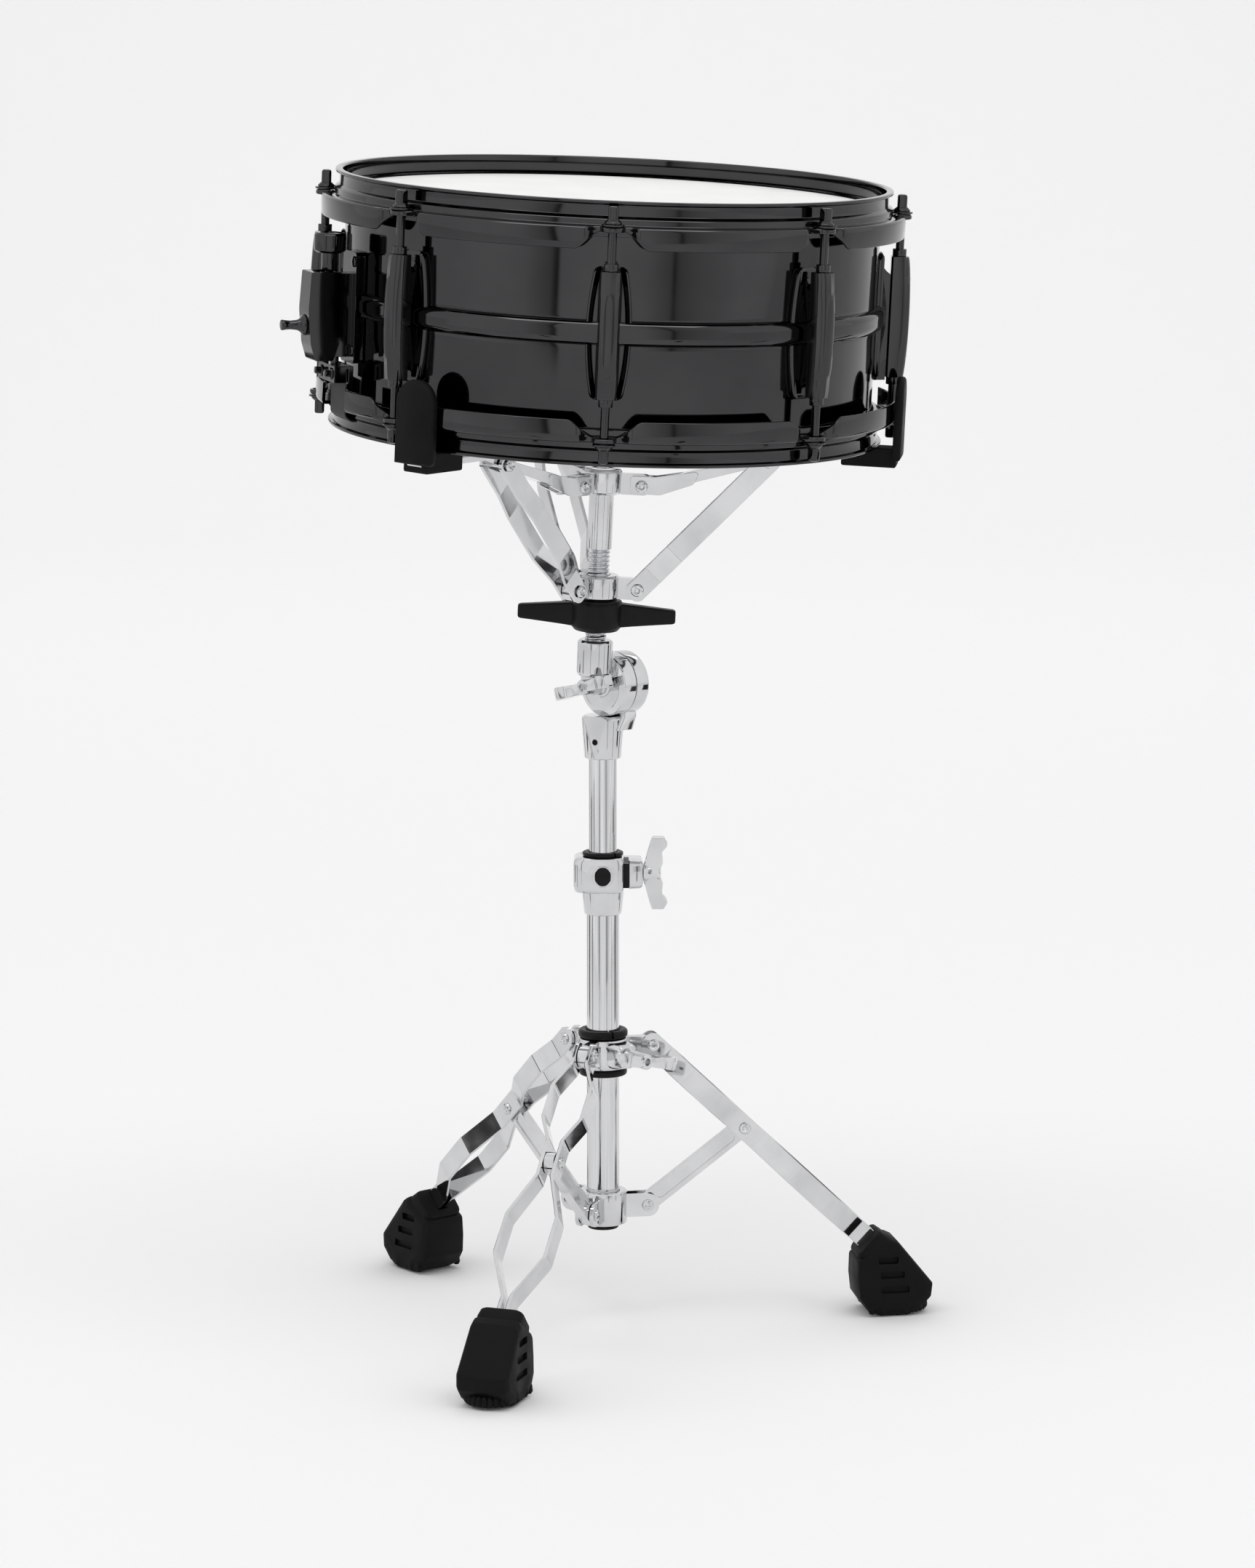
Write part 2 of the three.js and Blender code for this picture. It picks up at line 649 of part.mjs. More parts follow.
// An arm in its radial frame: forked round the hub's ear, flat under the drum, turned up at the end.
function armGeometry() {
  const outline = [
    [19, 132.5], [38, 132.5], [60, 141], [128, 162], [134, 164], [197.4, 164], [197.4, 210],
    [195, 210], [195, 169], [130, 169], [60, 152], [36, 144.5], [19, 144.5],
  ];
  const fork = block([18, 44], [-EAR_HALF - RUN, EAR_HALF + RUN], [120, 150]);
  const bar = cut(profile(outline, [-ARM_HALF_WIDTH, ARM_HALF_WIDTH]), fork);
  return join(bar, barY(2.5, [-7.6, 7.6], HUB_PIVOT));
}

function linkGeometry(length) {
  const inner = EAR_HALF + RUN;
  const gaps = [
    [-7, inner], [14, inner], [36, 9.5], [80, 9.5], [102, 6.8], [length + 7, 6.8],
  ];
  return join(
    ...stripPair(gaps, 6),
    barY(2.5, [-inner - 3.6, inner + 3.6]),
    ...rivetHeads(length, 8, 10.4, 4),
  );
}

// The rubber grip: a sleeve on the end of the arm and the paddle that holds the hoop.
function gripGeometry() {
  const paddle = [];
  for (let step = 0; step <= 10; step += 1) {
    const angle = (step * Math.PI) / 10;
    paddle.push([15.5 * Math.cos(angle), 205.5 + 15.5 * Math.sin(angle)]);
  }
  paddle.push([-15.5, 166], [15.5, 166]);
  const upright = plan(paddle, [GRIP_INNER, 199]).applyMatrix4(
    new THREE.Matrix4().makeBasis(
      new THREE.Vector3(0, 1, 0),
      new THREE.Vector3(0, 0, 1),
      new THREE.Vector3(1, 0, 0),
    ),
  );
  const sleeve = block([160, 199], [-9.5, 9.5], [160.8, DRUM_SEAT - GAP]);
  const pocket = join(
    block([155, 197.7], [-6.5, 6.5], [163.7, 169.3]),
    block([194.7, 197.7], [-6.5, 6.5], [163.7, 210.3]),
  );
  return cut(join(upright, sleeve), pocket);
}

function addBasket(group) {
  piece(group, "basket_spindle", "chrome", spindleGeometry());
  piece(group, "basket_slider", "chrome", sliderGeometry());
  piece(group, "basket_nut", "plastic", basketNutGeometry());
  const reach = [LINK_END[0] - SLIDER_PIVOT[0], LINK_END[1] - SLIDER_PIVOT[1]];
  const rise = THREE.MathUtils.radToDeg(Math.atan2(reach[1], reach[0]));
  ARM_AZIMUTHS.forEach((azimuth, index) => {
    const frame = radialFrame(group, azimuth);
    piece(frame, `arm_${index + 1}`, "chrome", armGeometry());
    piece(frame, `grip_${index + 1}`, "rubber", gripGeometry());
    const link = linkGeometry(Math.hypot(...reach));
    piece(pivotFrame(frame, SLIDER_PIVOT, rise), `link_${index + 1}`, "chrome", link);
  });
}

// Everything above the tilt axis leans together.
function addHead(group) {
  const turn = THREE.MathUtils.degToRad(TILT_AZIMUTH);
  const axis = new THREE.Vector3(Math.cos(turn), Math.sin(turn), 0);
  const head = new THREE.Group();
  head.position.set(...TILT_CENTRE);
  head.quaternion.setFromAxisAngle(axis, -THREE.MathUtils.degToRad(LEAN));
  group.add(head);
  const tilter = radialFrame(head, TILT_AZIMUTH);
  piece(tilter, "tilter_upper", "chrome", tilterUpperGeometry());
  piece(tilter, "tilter_wing_bolt", "chrome", wingBoltGeometry(-12.5, DISC_DEPTH + GAP, 31.5, -70));
  const basket = new THREE.Group();
  basket.position.copy(axis).multiplyScalar(SPINDLE_OFFSET);
  head.add(basket);
  addBasket(basket);
  const drum = new THREE.Group();
  drum.position.z = DRUM_SEAT;
  basket.add(drum);
  addDrum(drum);
}

// ---------------------------------------------------------------- assembly

const snareDrum = new THREE.Group();
addTripod(snareDrum);
addColumn(snareDrum);
addHead(snareDrum);

// Put the origin on the floor under the middle of the whole object.
const extent = new THREE.Box3().setFromObject(snareDrum, true);
const centre = extent.getCenter(new THREE.Vector3());
snareDrum.position.set(-centre.x, -centre.y, -extent.min.z);

export default snareDrum;
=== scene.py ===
"""A 14 inch snare drum in the basket of a folding tripod stand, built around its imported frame.

Shapes are written in millimetres, each in a local frame, and placed through a matrix whose
translation is in millimetres too. Heights on the drum are measured from its lower rim, and
places along the spindle from the tilter's axis.
"""

import json
import math

import bmesh
import bpy
from mathutils import Matrix, Vector


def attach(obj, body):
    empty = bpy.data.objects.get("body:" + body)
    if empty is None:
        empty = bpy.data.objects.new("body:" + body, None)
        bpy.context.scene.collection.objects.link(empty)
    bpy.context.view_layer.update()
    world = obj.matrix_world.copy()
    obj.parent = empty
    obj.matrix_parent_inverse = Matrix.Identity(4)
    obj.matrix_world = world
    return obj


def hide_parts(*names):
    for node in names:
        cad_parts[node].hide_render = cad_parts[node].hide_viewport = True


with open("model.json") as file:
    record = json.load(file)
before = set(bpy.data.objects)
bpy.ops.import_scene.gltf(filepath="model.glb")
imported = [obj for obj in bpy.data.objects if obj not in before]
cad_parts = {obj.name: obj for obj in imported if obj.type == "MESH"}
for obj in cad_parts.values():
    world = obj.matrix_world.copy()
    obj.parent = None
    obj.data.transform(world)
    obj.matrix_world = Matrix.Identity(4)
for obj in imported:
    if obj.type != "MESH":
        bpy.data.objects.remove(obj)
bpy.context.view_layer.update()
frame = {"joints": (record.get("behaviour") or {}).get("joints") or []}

# ------------------------------------------------------------------ driving dimensions

MM = 0.001

DRUM_HEIGHT = 167.0
SHELL_RADIUS = 176.5
SHELL_WALL = 1.5
SHELL_EDGE = 13.7
ROD_CIRCLE = 190.0
ROD_RADIUS = 2.75
LUG_COUNT = 8
LUG_HALF = 40.0
LUG_FOOT_HALF = 42.0
LUG_SCREW = 24
BEAD_HALF = 8.0
BEAD_RISE = 5.3
SHELF_TOP = 151.5
HOOP_SHEET = 2.3
BAND_RADIUS = 193.0
BAND_FOOT = 137.0
FILM_TOP = DRUM_HEIGHT - SHELL_EDGE + 0.9
STRAINER_AZIMUTH = 202.5
BUTT_AZIMUTH = STRAINER_AZIMUTH - 180
VENT_AZIMUTH = 112.5
CLAMP_BOLT_FACE = 196.6
STRAP_HALF = 14.0

BASE_TUBE = (11.1, 9.9, 71.0, 300.0)
UPPER_TUBE = (9.525, 8.0, 150.0, 412.0)
SLIDE_BORE = 11.4
COLLAR_WING_AZIMUTH = 310
COLLAR_WING_HEIGHT = 192
LEG_LENGTH = 236.0
LEG_SLOPE = 43.5
LEG_TO_BRACE = 88.0
BRACE = (97.83, 135.43)
LEG_HALF_HEIGHT = 7.5
STRIP = 2.4
EAR_HALF = 3.4
FORK = 3.9
RIVET_HEAD, RIVET_SHANK = 4.2, 2.6
WING_SPAN, WING_DEPTH = 25.0, 9.0
TILT_AZIMUTH = 225
TILT_HEIGHT = 446
RECESS_AZIMUTH = 243
DISC_RADIUS = 22.0
DISC_DEPTH = 13.0
SPINDLE_OFFSET = 20.0
SOCKET_TOP = 32.0
SPINDLE_RADIUS = 7.5
SLEEVE_RADIUS = 8.3
NUT_BOTTOM, NUT_TOP = 38.5, 59.2
HUB_PIVOT = (27.5, 138.0)
SLIDER_PIVOT = (27.5, 68.0)
LINK_END = (112.0, 160.0)
DRUM_SEAT = 174.0
GRIP_INNER = 193.4

# ------------------------------------------------------------------ frames

JOINTS = {joint["name"]: joint for joint in frame["joints"]}


def pivot(name):
    return Vector(JOINTS[name]["pos_m"]) / MM


def axis(name):
    return Vector(JOINTS[name]["axis"]).normalized()


def shift(x=0.0, y=0.0, z=0.0):
    return Matrix.Translation((x, y, z))


def turn(degrees, around):
    return Matrix.Rotation(math.radians(degrees), 4, around)


def out_to(place):
    """The way to an (outward, height) place in a radial frame."""
    return shift(place[0], 0, place[1])


def span(start, end):
    """The length between two (outward, height) places, and its rise in degrees."""
    out, up = end[0] - start[0], end[1] - start[1]
    return math.hypot(out, up), math.degrees(math.atan2(up, out))


def outward_azimuth(name):
    """The azimuth of a piece whose hinge axis runs along its ring, in degrees."""
    along = axis(name)
    return math.degrees(math.atan2(-along.x, along.y))


column_centre = pivot("column_swivel")
COLUMN = shift(column_centre.x, column_centre.y, 0)
LEG_AZIMUTHS = [outward_azimuth(f"leg_{k}_fold") for k in (1, 2, 3)]
LEG_HINGES = [pivot(f"leg_{k}_fold") for k in (1, 2, 3)]
LEG_PIVOT = ((LEG_HINGES[0] - column_centre).xy.length, LEG_HINGES[0].z)
strut_hinge = pivot("strut_1_fold")
STRUT_PIVOT = ((strut_hinge - column_centre).xy.length, strut_hinge.z)

SPINDLE_AXIS = axis("basket_slide")
LEAN = Vector((0, 0, 1)).rotation_difference(SPINDLE_AXIS).to_matrix().to_4x4()
TILTER = Matrix.Translation(pivot("basket_tilt")) @ LEAN @ turn(TILT_AZIMUTH, "Z")
LOWER_TILTER = Matrix.Translation(pivot("basket_tilt")) @ turn(TILT_AZIMUTH, "Z")
BASKET = TILTER @ shift(SPINDLE_OFFSET) @ turn(-TILT_AZIMUTH, "Z")
DRUM = BASKET @ shift(z=DRUM_SEAT)
UNLEANED = BASKET.to_3x3().inverted()
ARM_AZIMUTHS = [
    math.degrees(math.atan2(along.x, -along.y))
    for along in (UNLEANED @ axis(f"arm_{k}_pivot") for k in (1, 2, 3))
]

# ------------------------------------------------------------------ shapes


class Shape:
    """Corner points in millimetres and the faces between them."""

    def __init__(self, points, faces):
        self.points = [Vector(point) for point in points]
        self.faces = [tuple(face) for face in faces]

    def placed(self, matrix):
        return Shape([matrix @ point for point in self.points], self.faces)

    def bent(self, rule):
        return Shape([rule(point) for point in self.points], self.faces)

    def __add__(self, other):
        start = len(self.points)
        moved = [tuple(i + start for i in face) for face in other.faces]
        return Shape(self.points + other.points, self.faces + moved)


def together(shapes):
    whole = Shape([], [])
    for shape in shapes:
        whole = whole + shape
    return whole


def arc(centre, radius, start, stop, steps):
    angles = [math.radians(start + (stop - start) * i / steps) for i in range(steps + 1)]
    return [(centre[0] + radius * math.cos(a), centre[1] + radius * math.sin(a)) for a in angles]


def rounded(points, radius, steps=4, closed=True):
    """A polyline whose corners are arcs. A point may carry its own radius."""
    made = []
    last = len(points) - 1
    for i, point in enumerate(points):
        here = Vector(point[:2])
        wanted = point[2] if len(point) > 2 else radius
        before = Vector(points[i - 1][:2]) - here
        after = Vector(points[(i + 1) % len(points)][:2]) - here
        end = not closed and i in (0, last)
        if end or wanted <= 0 or before.angle(after) > math.pi - 0.02:
            made.append(tuple(here))
            continue
        half = before.angle(after) / 2
        trim = min(wanted / math.tan(half), before.length * 0.48, after.length * 0.48)
        size = trim * math.tan(half)
        inward = (before.normalized() + after.normalized()).normalized()
        centre = here + inward * (size / math.sin(half))
        first = here + before.normalized() * trim - centre
        final = here + after.normalized() * trim - centre
        start = math.atan2(first.y, first.x)
        sweep = math.atan2(final.y, final.x) - start
        sweep = (sweep + math.pi) % (2 * math.pi) - math.pi
        for step in range(steps + 1):
            angle = start + sweep * step / steps
            made.append((centre.x + size * math.cos(angle), centre.y + size * math.sin(angle)))
    return made


def lathe(outline, sides=96, ring=False):
    """(radius, height) points turned about Z. A ring's outline closes on itself."""
    points, rows, faces = [], [], []
    for radius, height in outline:
        if radius < 1e-6:
            rows.append([len(points)] * sides)
            points.append((0, 0, height))
            continue
        rows.append(list(range(len(points), len(points) + sides)))
        for i in range(sides):
            angle = 2 * math.pi * i / sides
            points.append((radius * math.cos(angle), radius * math.sin(angle), height))
    pairs = list(zip(rows, rows[1:] + rows[:1])) if ring else list(zip(rows, rows[1:]))
    for low, high in pairs:
        for i in range(sides):
            j = (i + 1) % sides
            face = [low[i], low[j], high[j], high[i]]
            face = [corner for k, corner in enumerate(face) if corner != face[k - 1]]
            if len(face) > 2:
                faces.append(face)
    return Shape(points, faces)


def spun(outline, sides, steps=4):
    """A solid turned about Z, from (radius, height) points that may carry a corner radius."""
    return lathe(rounded(outline, 0, steps, closed=False), sides)


def spun_ring(outline, sides, edge, steps=4):
    """A ring turned about Z, from points like a solid's."""
    return lathe(rounded(outline, edge, steps), sides, ring=True)


def skin(rows, looped=False):
    """A surface through closed rows of equal length, capped unless the last meets the first."""
    width = len(rows[0])
    points = [point for row in rows for point in row]
    faces = []
    for r in range(len(rows) if looped else len(rows) - 1):
        low, high = r * width, (r + 1) % len(rows) * width
        for i in range(width):
            j = (i + 1) % width
            faces.append((low + i, low + j, high + j, high + i))
    if not looped:
        faces.append(tuple(reversed(range(width))))
        faces.append(tuple(range((len(rows) - 1) * width, len(rows) * width)))
    return Shape(points, faces)


def prism(outline, low, high):
    """An outline of (x, y) points with a thickness along Z."""
    return skin([[(x, y, low) for x, y in outline], [(x, y, high) for x, y in outline]])


def prism_x(outline, low, high):
    """An outline of (y, z) points with a thickness along X."""
    return skin([[(low, y, z) for y, z in outline], [(high, y, z) for y, z in outline]])


def prism_y(outline, low, high):
    """An outline of (x, z) points with a thickness along Y."""
    return skin([[(x, low, z) for x, z in outline], [(x, high, z) for x, z in outline]])


def oblong(across, up, radius, steps=4):
    """A rectangle's outline between two pairs of limits, with rounded corners."""
    (left, right), (low, high) = across, up
    return rounded([(left, low), (right, low), (right, high), (left, high)], radius, steps)


def lofted(sections, radius, steps):
    """A bar along X through (x, half width, low, high) sections with rounded corners."""
    rows = []
    for x, half, low, high in sections:
        rows.append([(x, y, z) for y, z in oblong((-half, half), (low, high), radius, steps)])
    return skin(rows)


def drawn_in(outline, centre, inset):
    """An outline's points, each moved by the inset towards the centre."""
    middle = Vector(centre)
    return [Vector(p) + (middle - Vector(p)).normalized() * inset for p in outline]


def around(shape, azimuths):
    return [shape.placed(turn(azimuth, "Z")) for azimuth in azimuths]


def box(x, y, z):
    return prism([(x[0], y[0]), (x[1], y[0]), (x[1], y[1]), (x[0], y[1])], *z)


def rod(radius, low, high, sides=32, edge=0.0):
    """A round bar along Z with turned-over ends."""
    outline = [(0, low), (radius, low, edge), (radius, high, edge), (0, high)]
    return lathe(rounded(outline, 0, 3, closed=False) if edge else [p[:2] for p in outline], sides)


def rod_x(radius, low, high, z=0.0, sides=32, edge=0.0):
    return rod(radius, low, high, sides, edge).placed(shift(z=z) @ turn(90, "Y"))


def rod_y(radius, low, high, at=(0.0, 0.0), sides=32, edge=0.0):
    return rod(radius, low, high, sides, edge).placed(shift(at[0], 0, at[1]) @ turn(-90, "X"))


def ring(outer, inner, low, high, sides=64, edge=0.4):
    outline = [(inner, low), (outer, low), (outer, high), (inner, high)]
    return spun_ring(outline, sides, edge, 3)


def threaded(radius, depth, pitch, low, high, sides=32):
    """A screw thread along Z, its crest turning with the height."""
    steps = max(2, round((high - low) / pitch * 6))
    rows = []
    for step in range(steps + 1):
        height = low + (high - low) * step / steps
        row = []
        for i in range(sides):
            phase = (height / pitch - i / sides) % 1.0
            crest = 1 - abs(2 * phase - 1)
            size = radius - depth * (1 - min(1, crest * 1.25))
            angle = 2 * math.pi * i / sides
            row.append((size * math.cos(angle), size * math.sin(angle), height))
        rows.append(row)
    return skin(rows)


def ribbon(path, thickness, half_height, bend=5.0):
    """A flat bar standing on its edge, bent along (x, y) points."""
    centre = [Vector(point) for point in rounded(path, bend, 6, closed=False)]
    left, right = [], []
    for i, here in enumerate(centre):
        ahead = centre[min(i + 1, len(centre) - 1)] - here
        behind = here - centre[max(i - 1, 0)]
        side = (ahead.normalized() + behind.normalized()).normalized().orthogonal()
        left.append(here + side * thickness / 2)
        right.append(here - side * thickness / 2)
    rows = []
    for a, b in zip(left, right):
        inset = 0.45
        u = (a - b).normalized() * inset
        high, low = half_height, -half_height
        rows.append([
            (a.x, a.y, low + inset), (a.x, a.y, high - inset),
            (a.x - u.x, a.y - u.y, high), (b.x + u.x, b.y + u.y, high),
            (b.x, b.y, high - inset), (b.x, b.y, low + inset),
            (b.x + u.x, b.y + u.y, low), (a.x - u.x, a.y - u.y, low),
        ])
    return skin(rows)


def ball_row(centre, radii, count, squareness=1.0):
    """A row of points round an oval at a height, squarer as squareness falls below one."""
    row = []
    for i in range(count):
        angle = 2 * math.pi * (i + 0.5) / count
        c, s = math.cos(angle), math.sin(angle)
        x = math.copysign(abs(c) ** squareness, c) * radii[0]
        y = math.copysign(abs(s) ** squareness, s) * radii[1]
        row.append((centre[0] + x, centre[1] + y, centre[2]))
    return row


def post(levels, count, squareness=1.0, at=(0, 0)):
    """An upright post through (height, half width) levels."""
    return skin([ball_row((*at, h), (w, w), count, squareness) for h, w in levels])


# ------------------------------------------------------------------ solids and pieces


def new_mesh(name, points, faces):
    mesh = bpy.data.meshes.new(name)
    mesh.from_pydata(points, [], faces)
    return mesh


def new_object(name, data):
    made = bpy.data.objects.new(name, data)
    bpy.context.scene.collection.objects.link(made)
    return made


def cleaned(mesh):
    """The mesh with doubled points merged and every face turned outward."""
    work = bmesh.new()
    work.from_mesh(mesh)
    bmesh.ops.remove_doubles(work, verts=work.verts, dist=1e-6)
    bmesh.ops.recalc_face_normals(work, faces=work.faces)
    work.to_mesh(mesh)
    work.free()
    return mesh


def loose_object(shape):
    return new_object("loose", cleaned(new_mesh("loose", shape.points, shape.faces)))


def smoothed(mesh):
    for polygon in mesh.polygons:
        polygon.use_smooth = True


def solid(operation, first, others):
    """Closed shapes united, cut or intersected, one after another, as a shape."""
    base = loose_object(first)
    helpers = [loose_object(other) for other in others]
    for helper in helpers:
        step = base.modifiers.new("step", "BOOLEAN")
        step.operation = operation
        step.solver = "MANIFOLD"
        step.object = helper
    graph = bpy.context.evaluated_depsgraph_get()
    result = bpy.data.meshes.new_from_object(base.evaluated_get(graph))
    made = Shape([v.co for v in result.vertices], [p.vertices for p in result.polygons])
    for used in (base, *helpers):
        mesh = used.data
        bpy.data.objects.remove(used)
        bpy.data.meshes.remove(mesh)
    bpy.data.meshes.remove(result)
    if not made.faces:
        raise RuntimeError("a solid came out empty")
    return made


def joined(first, *others):
    return solid("UNION", first, others)


def carved(first, *tools):
    return solid("DIFFERENCE", first, tools)


def piece(name, body, slot, shape, place, bevel=0.0, steps=2, crease=35, material=None,
          replaces=()):
    """A named mesh that rides on a body. Its bevel, in millimetres, rounds its sharp edges."""
    mesh = cleaned(new_mesh(name, [point * MM for point in shape.points], shape.faces))
    smoothed(mesh)
    mesh.set_sharp_from_angle(angle=math.radians(crease))
    mesh.materials.append(MATERIALS[material or slot])
    made = new_object(name, mesh)
    world = place.copy()
    world.translation = place.translation * MM
    made.matrix_world = world
    if bevel:
        edge = made.modifiers.new("edge", "BEVEL")
        edge.width = bevel * MM
        edge.segments = steps
        edge.limit_method = "ANGLE"
        edge.angle_limit = math.radians(crease)
        edge.harden_normals = True
        edge.miter_outer = "MITER_ARC"
    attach(made, body)
    if replaces:
        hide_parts(*replaces)


def casting(name, body, shape, place, bevel, replaces=()):
    """A polished casting: its bevels are finer than those of pressed parts."""
    piece(name, body, "chrome", shape, place, bevel, 3, crease=32, replaces=replaces)


# ------------------------------------------------------------------ materials


# The noise patterns run from one value to the other between these levels.
NOISE_LOW, NOISE_HIGH = 0.35, 0.65


def bare_material(name):
    made = bpy.data.materials.new(name)
    made.use_nodes = True
    return made, made.node_tree.nodes, made.node_tree.links


def noise(nodes, links, scale, detail=3.0, stretch=None):
    """A noise pattern in the piece's own space, stretched along one of its axes if asked."""
    place = nodes.new("ShaderNodeTexCoord")
    pattern = nodes.new("ShaderNodeTexNoise")
    pattern.inputs["Scale"].default_value = scale
    pattern.inputs["Detail"].default_value = detail
    source = place.outputs["Object"]
    if stretch:
        mapping = nodes.new("ShaderNodeMapping")
        mapping.inputs["Scale"].default_value = stretch
        links.new(source, mapping.inputs["Vector"])
        source = mapping.outputs["Vector"]
    links.new(source, pattern.inputs["Vector"])
    return pattern


def ramp(nodes, links, source, low, high):
    """A number or colour that runs from low to high with the pattern."""
    share = nodes.new("ShaderNodeMapRange")
    share.inputs["From Min"].default_value = NOISE_LOW
    share.inputs["From Max"].default_value = NOISE_HIGH
    links.new(source, share.inputs["Value"])
    if not isinstance(low, tuple):
        share.inputs["To Min"].default_value = low
        share.inputs["To Max"].default_value = high
        return share.outputs["Result"]
    made = nodes.new("ShaderNodeMix")
    made.data_type = "RGBA"
    links.new(share.outputs["Result"], made.inputs["Factor"])
    made.inputs["A"].default_value = (*low, 1)
    made.inputs["B"].default_value = (*high, 1)
    return made.outputs["Result"]


def relief(nodes, links, source, height):
    """A bump from a pattern, its height in millimetres."""
    bump = nodes.new("ShaderNodeBump")
    bump.inputs["Strength"].default_value = 1.0
    bump.inputs["Distance"].default_value = height * MM
    links.new(source, bump.inputs["Height"])
    return bump.outputs["Normal"]


def surface(name, dark, light, rough, metallic, mottle, grain, specular=0.5, stretch=None,
            detail=4.0):
    """A finish whose colour and roughness drift with one pattern and whose relief has another.

    The mottle and the grain are scales. A grain of zero takes its relief from the first pattern.
    """
    made, nodes, links = bare_material(name)
    shader = nodes["Principled BSDF"]
    shader.inputs["Metallic"].default_value = metallic
    shader.inputs["Specular IOR Level"].default_value = specular
    drift = noise(nodes, links, mottle, detail, stretch).outputs["Fac"]
    links.new(ramp(nodes, links, drift, dark, light), shader.inputs["Base Color"])
    links.new(ramp(nodes, links, drift, *rough), shader.inputs["Roughness"])
    scale, height = grain
    fine = noise(nodes, links, scale, 2.0, stretch).outputs["Fac"] if scale else drift
    links.new(relief(nodes, links, fine, height), shader.inputs["Normal"])
    return made


# Each finish has a dark and a light colour, two limits of roughness, how metallic it is, the
# scale of its mottle, and its grain as a scale and a height in millimetres. Drawn metal has fine
# lines along Z, and the straps have threads along X.
FINISHES = {
    "black_nickel": ((0.054, 0.054, 0.056), (0.064, 0.064, 0.066), (0.05, 0.09), 1, 18,
                     (260, 0.0008)),
    "chrome": ((0.6, 0.605, 0.615), (0.69, 0.695, 0.702), (0.04, 0.11), 1, 34, (240, 0.003)),
    "rubber": ((0.003, 0.003, 0.0032), (0.0055, 0.0055, 0.0058), (0.5, 0.66), 0, 60,
               (2600, 0.03), 0.12),
    "plastic": ((0.004, 0.004, 0.0042), (0.007, 0.007, 0.0072), (0.34, 0.46), 0, 80,
                (1800, 0.016), 0.16),
    "drumhead": ((0.795, 0.795, 0.782), (0.825, 0.825, 0.815), (0.55, 0.7), 0, 25,
                 (1500, 0.03)),
    "film": ((0.69, 0.70, 0.70), (0.72, 0.73, 0.73), (0.2, 0.3), 0, 25, (700, 0.006)),
    "snare_steel": ((0.55, 0.56, 0.57), (0.68, 0.69, 0.7), (0.16, 0.3), 1, 120, (900, 0.004)),
    "drawn_chrome": ((0.61, 0.615, 0.625), (0.73, 0.735, 0.742), (0.045, 0.12), 1, 700,
                     (0, 0.0015), 0.5, (1.0, 1.0, 0.02), 5.0),
    "end_plate": ((0.5, 0.4, 0.2), (0.62, 0.5, 0.27), (0.2, 0.34), 1, 60, (700, 0.004)),
    "strap": ((0.015, 0.015, 0.016), (0.03, 0.03, 0.032), (0.6, 0.8), 0, 300, (1400, 0.04), 0.5,
              (1.0, 12.0, 12.0)),
    "steel_thread": ((0.6, 0.61, 0.63), (0.72, 0.73, 0.75), (0.12, 0.24), 1, 160, (900, 0.003)),
}
MATERIALS = {name: surface(name, *finish) for name, finish in FINISHES.items()}

# ------------------------------------------------------------------ drum

LUG_ANGLES = [360 * k / LUG_COUNT for k in range(LUG_COUNT)]


def end_for_end(shape):
    """A top piece of the drum as its bottom one."""
    return shape.placed(shift(z=DRUM_HEIGHT) @ turn(180, "X"))


def smooth_step(value):
    value = min(1.0, max(0.0, value))
    return value * value * (3 - 2 * value)


def shell_shape():
    """The spun shell with its rolled centre bead and turned-in bearing edges."""
    middle = DRUM_HEIGHT / 2
    top = DRUM_HEIGHT - SHELL_EDGE
    bead = []
    for step in range(25):
        along = -1 + step / 12
        rise = BEAD_RISE * min(1.0, math.sqrt(max(0.0, 1 - abs(along) ** 2.6)) * 1.04)
        bead.append((SHELL_RADIUS + rise, middle + BEAD_HALF * along))
    outer = [(SHELL_RADIUS, SHELL_EDGE + 4)]
    outer += [(SHELL_RADIUS, middle - BEAD_HALF - 2.5)]
    outer += [(SHELL_RADIUS + 0.15, middle - BEAD_HALF - 0.8)] + bead
    outer += [(SHELL_RADIUS + 0.15, middle + BEAD_HALF + 0.8)]
    outer += [(SHELL_RADIUS, middle + BEAD_HALF + 2.5), (SHELL_RADIUS, top - 4)]
    edge = arc((SHELL_RADIUS - 4, top - 4), 4, 0, 90, 8)
    foot = arc((SHELL_RADIUS - 4, SHELL_EDGE + 4), 4, -90, 0, 8)
    inner = [(SHELL_RADIUS - 4, top - SHELL_WALL), (SHELL_RADIUS - SHELL_WALL, top - 5)]
    inner += [(SHELL_RADIUS - SHELL_WALL, SHELL_EDGE + 5)]
    inner += [(SHELL_RADIUS - 4, SHELL_EDGE + SHELL_WALL)]
    return lathe(foot + outer + edge + inner, 256, ring=True)


def film_shape():
    """The film: flat inside, a rounded collar over the bearing edge, and its skirt."""
    top, thick = FILM_TOP, 0.35
    collar = arc((174.2, top - 3.6), 3.6, 90, 12, 8)
    under = [(r - thick, z - thick) for r, z in reversed(collar)]
    outline = [(0, top), (60, top), (120, top), (168, top)] + collar + [(177.9, 147)]
    outline += [(177.5, 147)] + under + [(168, top - thick), (0, top - thick)]
    return lathe(outline, 192)


def flesh_hoop_shape():
    outline = [(177.6, 144.2), (181.5, 144.2), (181.5, 152.6), (179.6, 153.0), (178.3, 151.8),
               (178.3, 147.2), (177.6, 147.2)]
    return spun_ring(outline, 192, 0.5, 3)


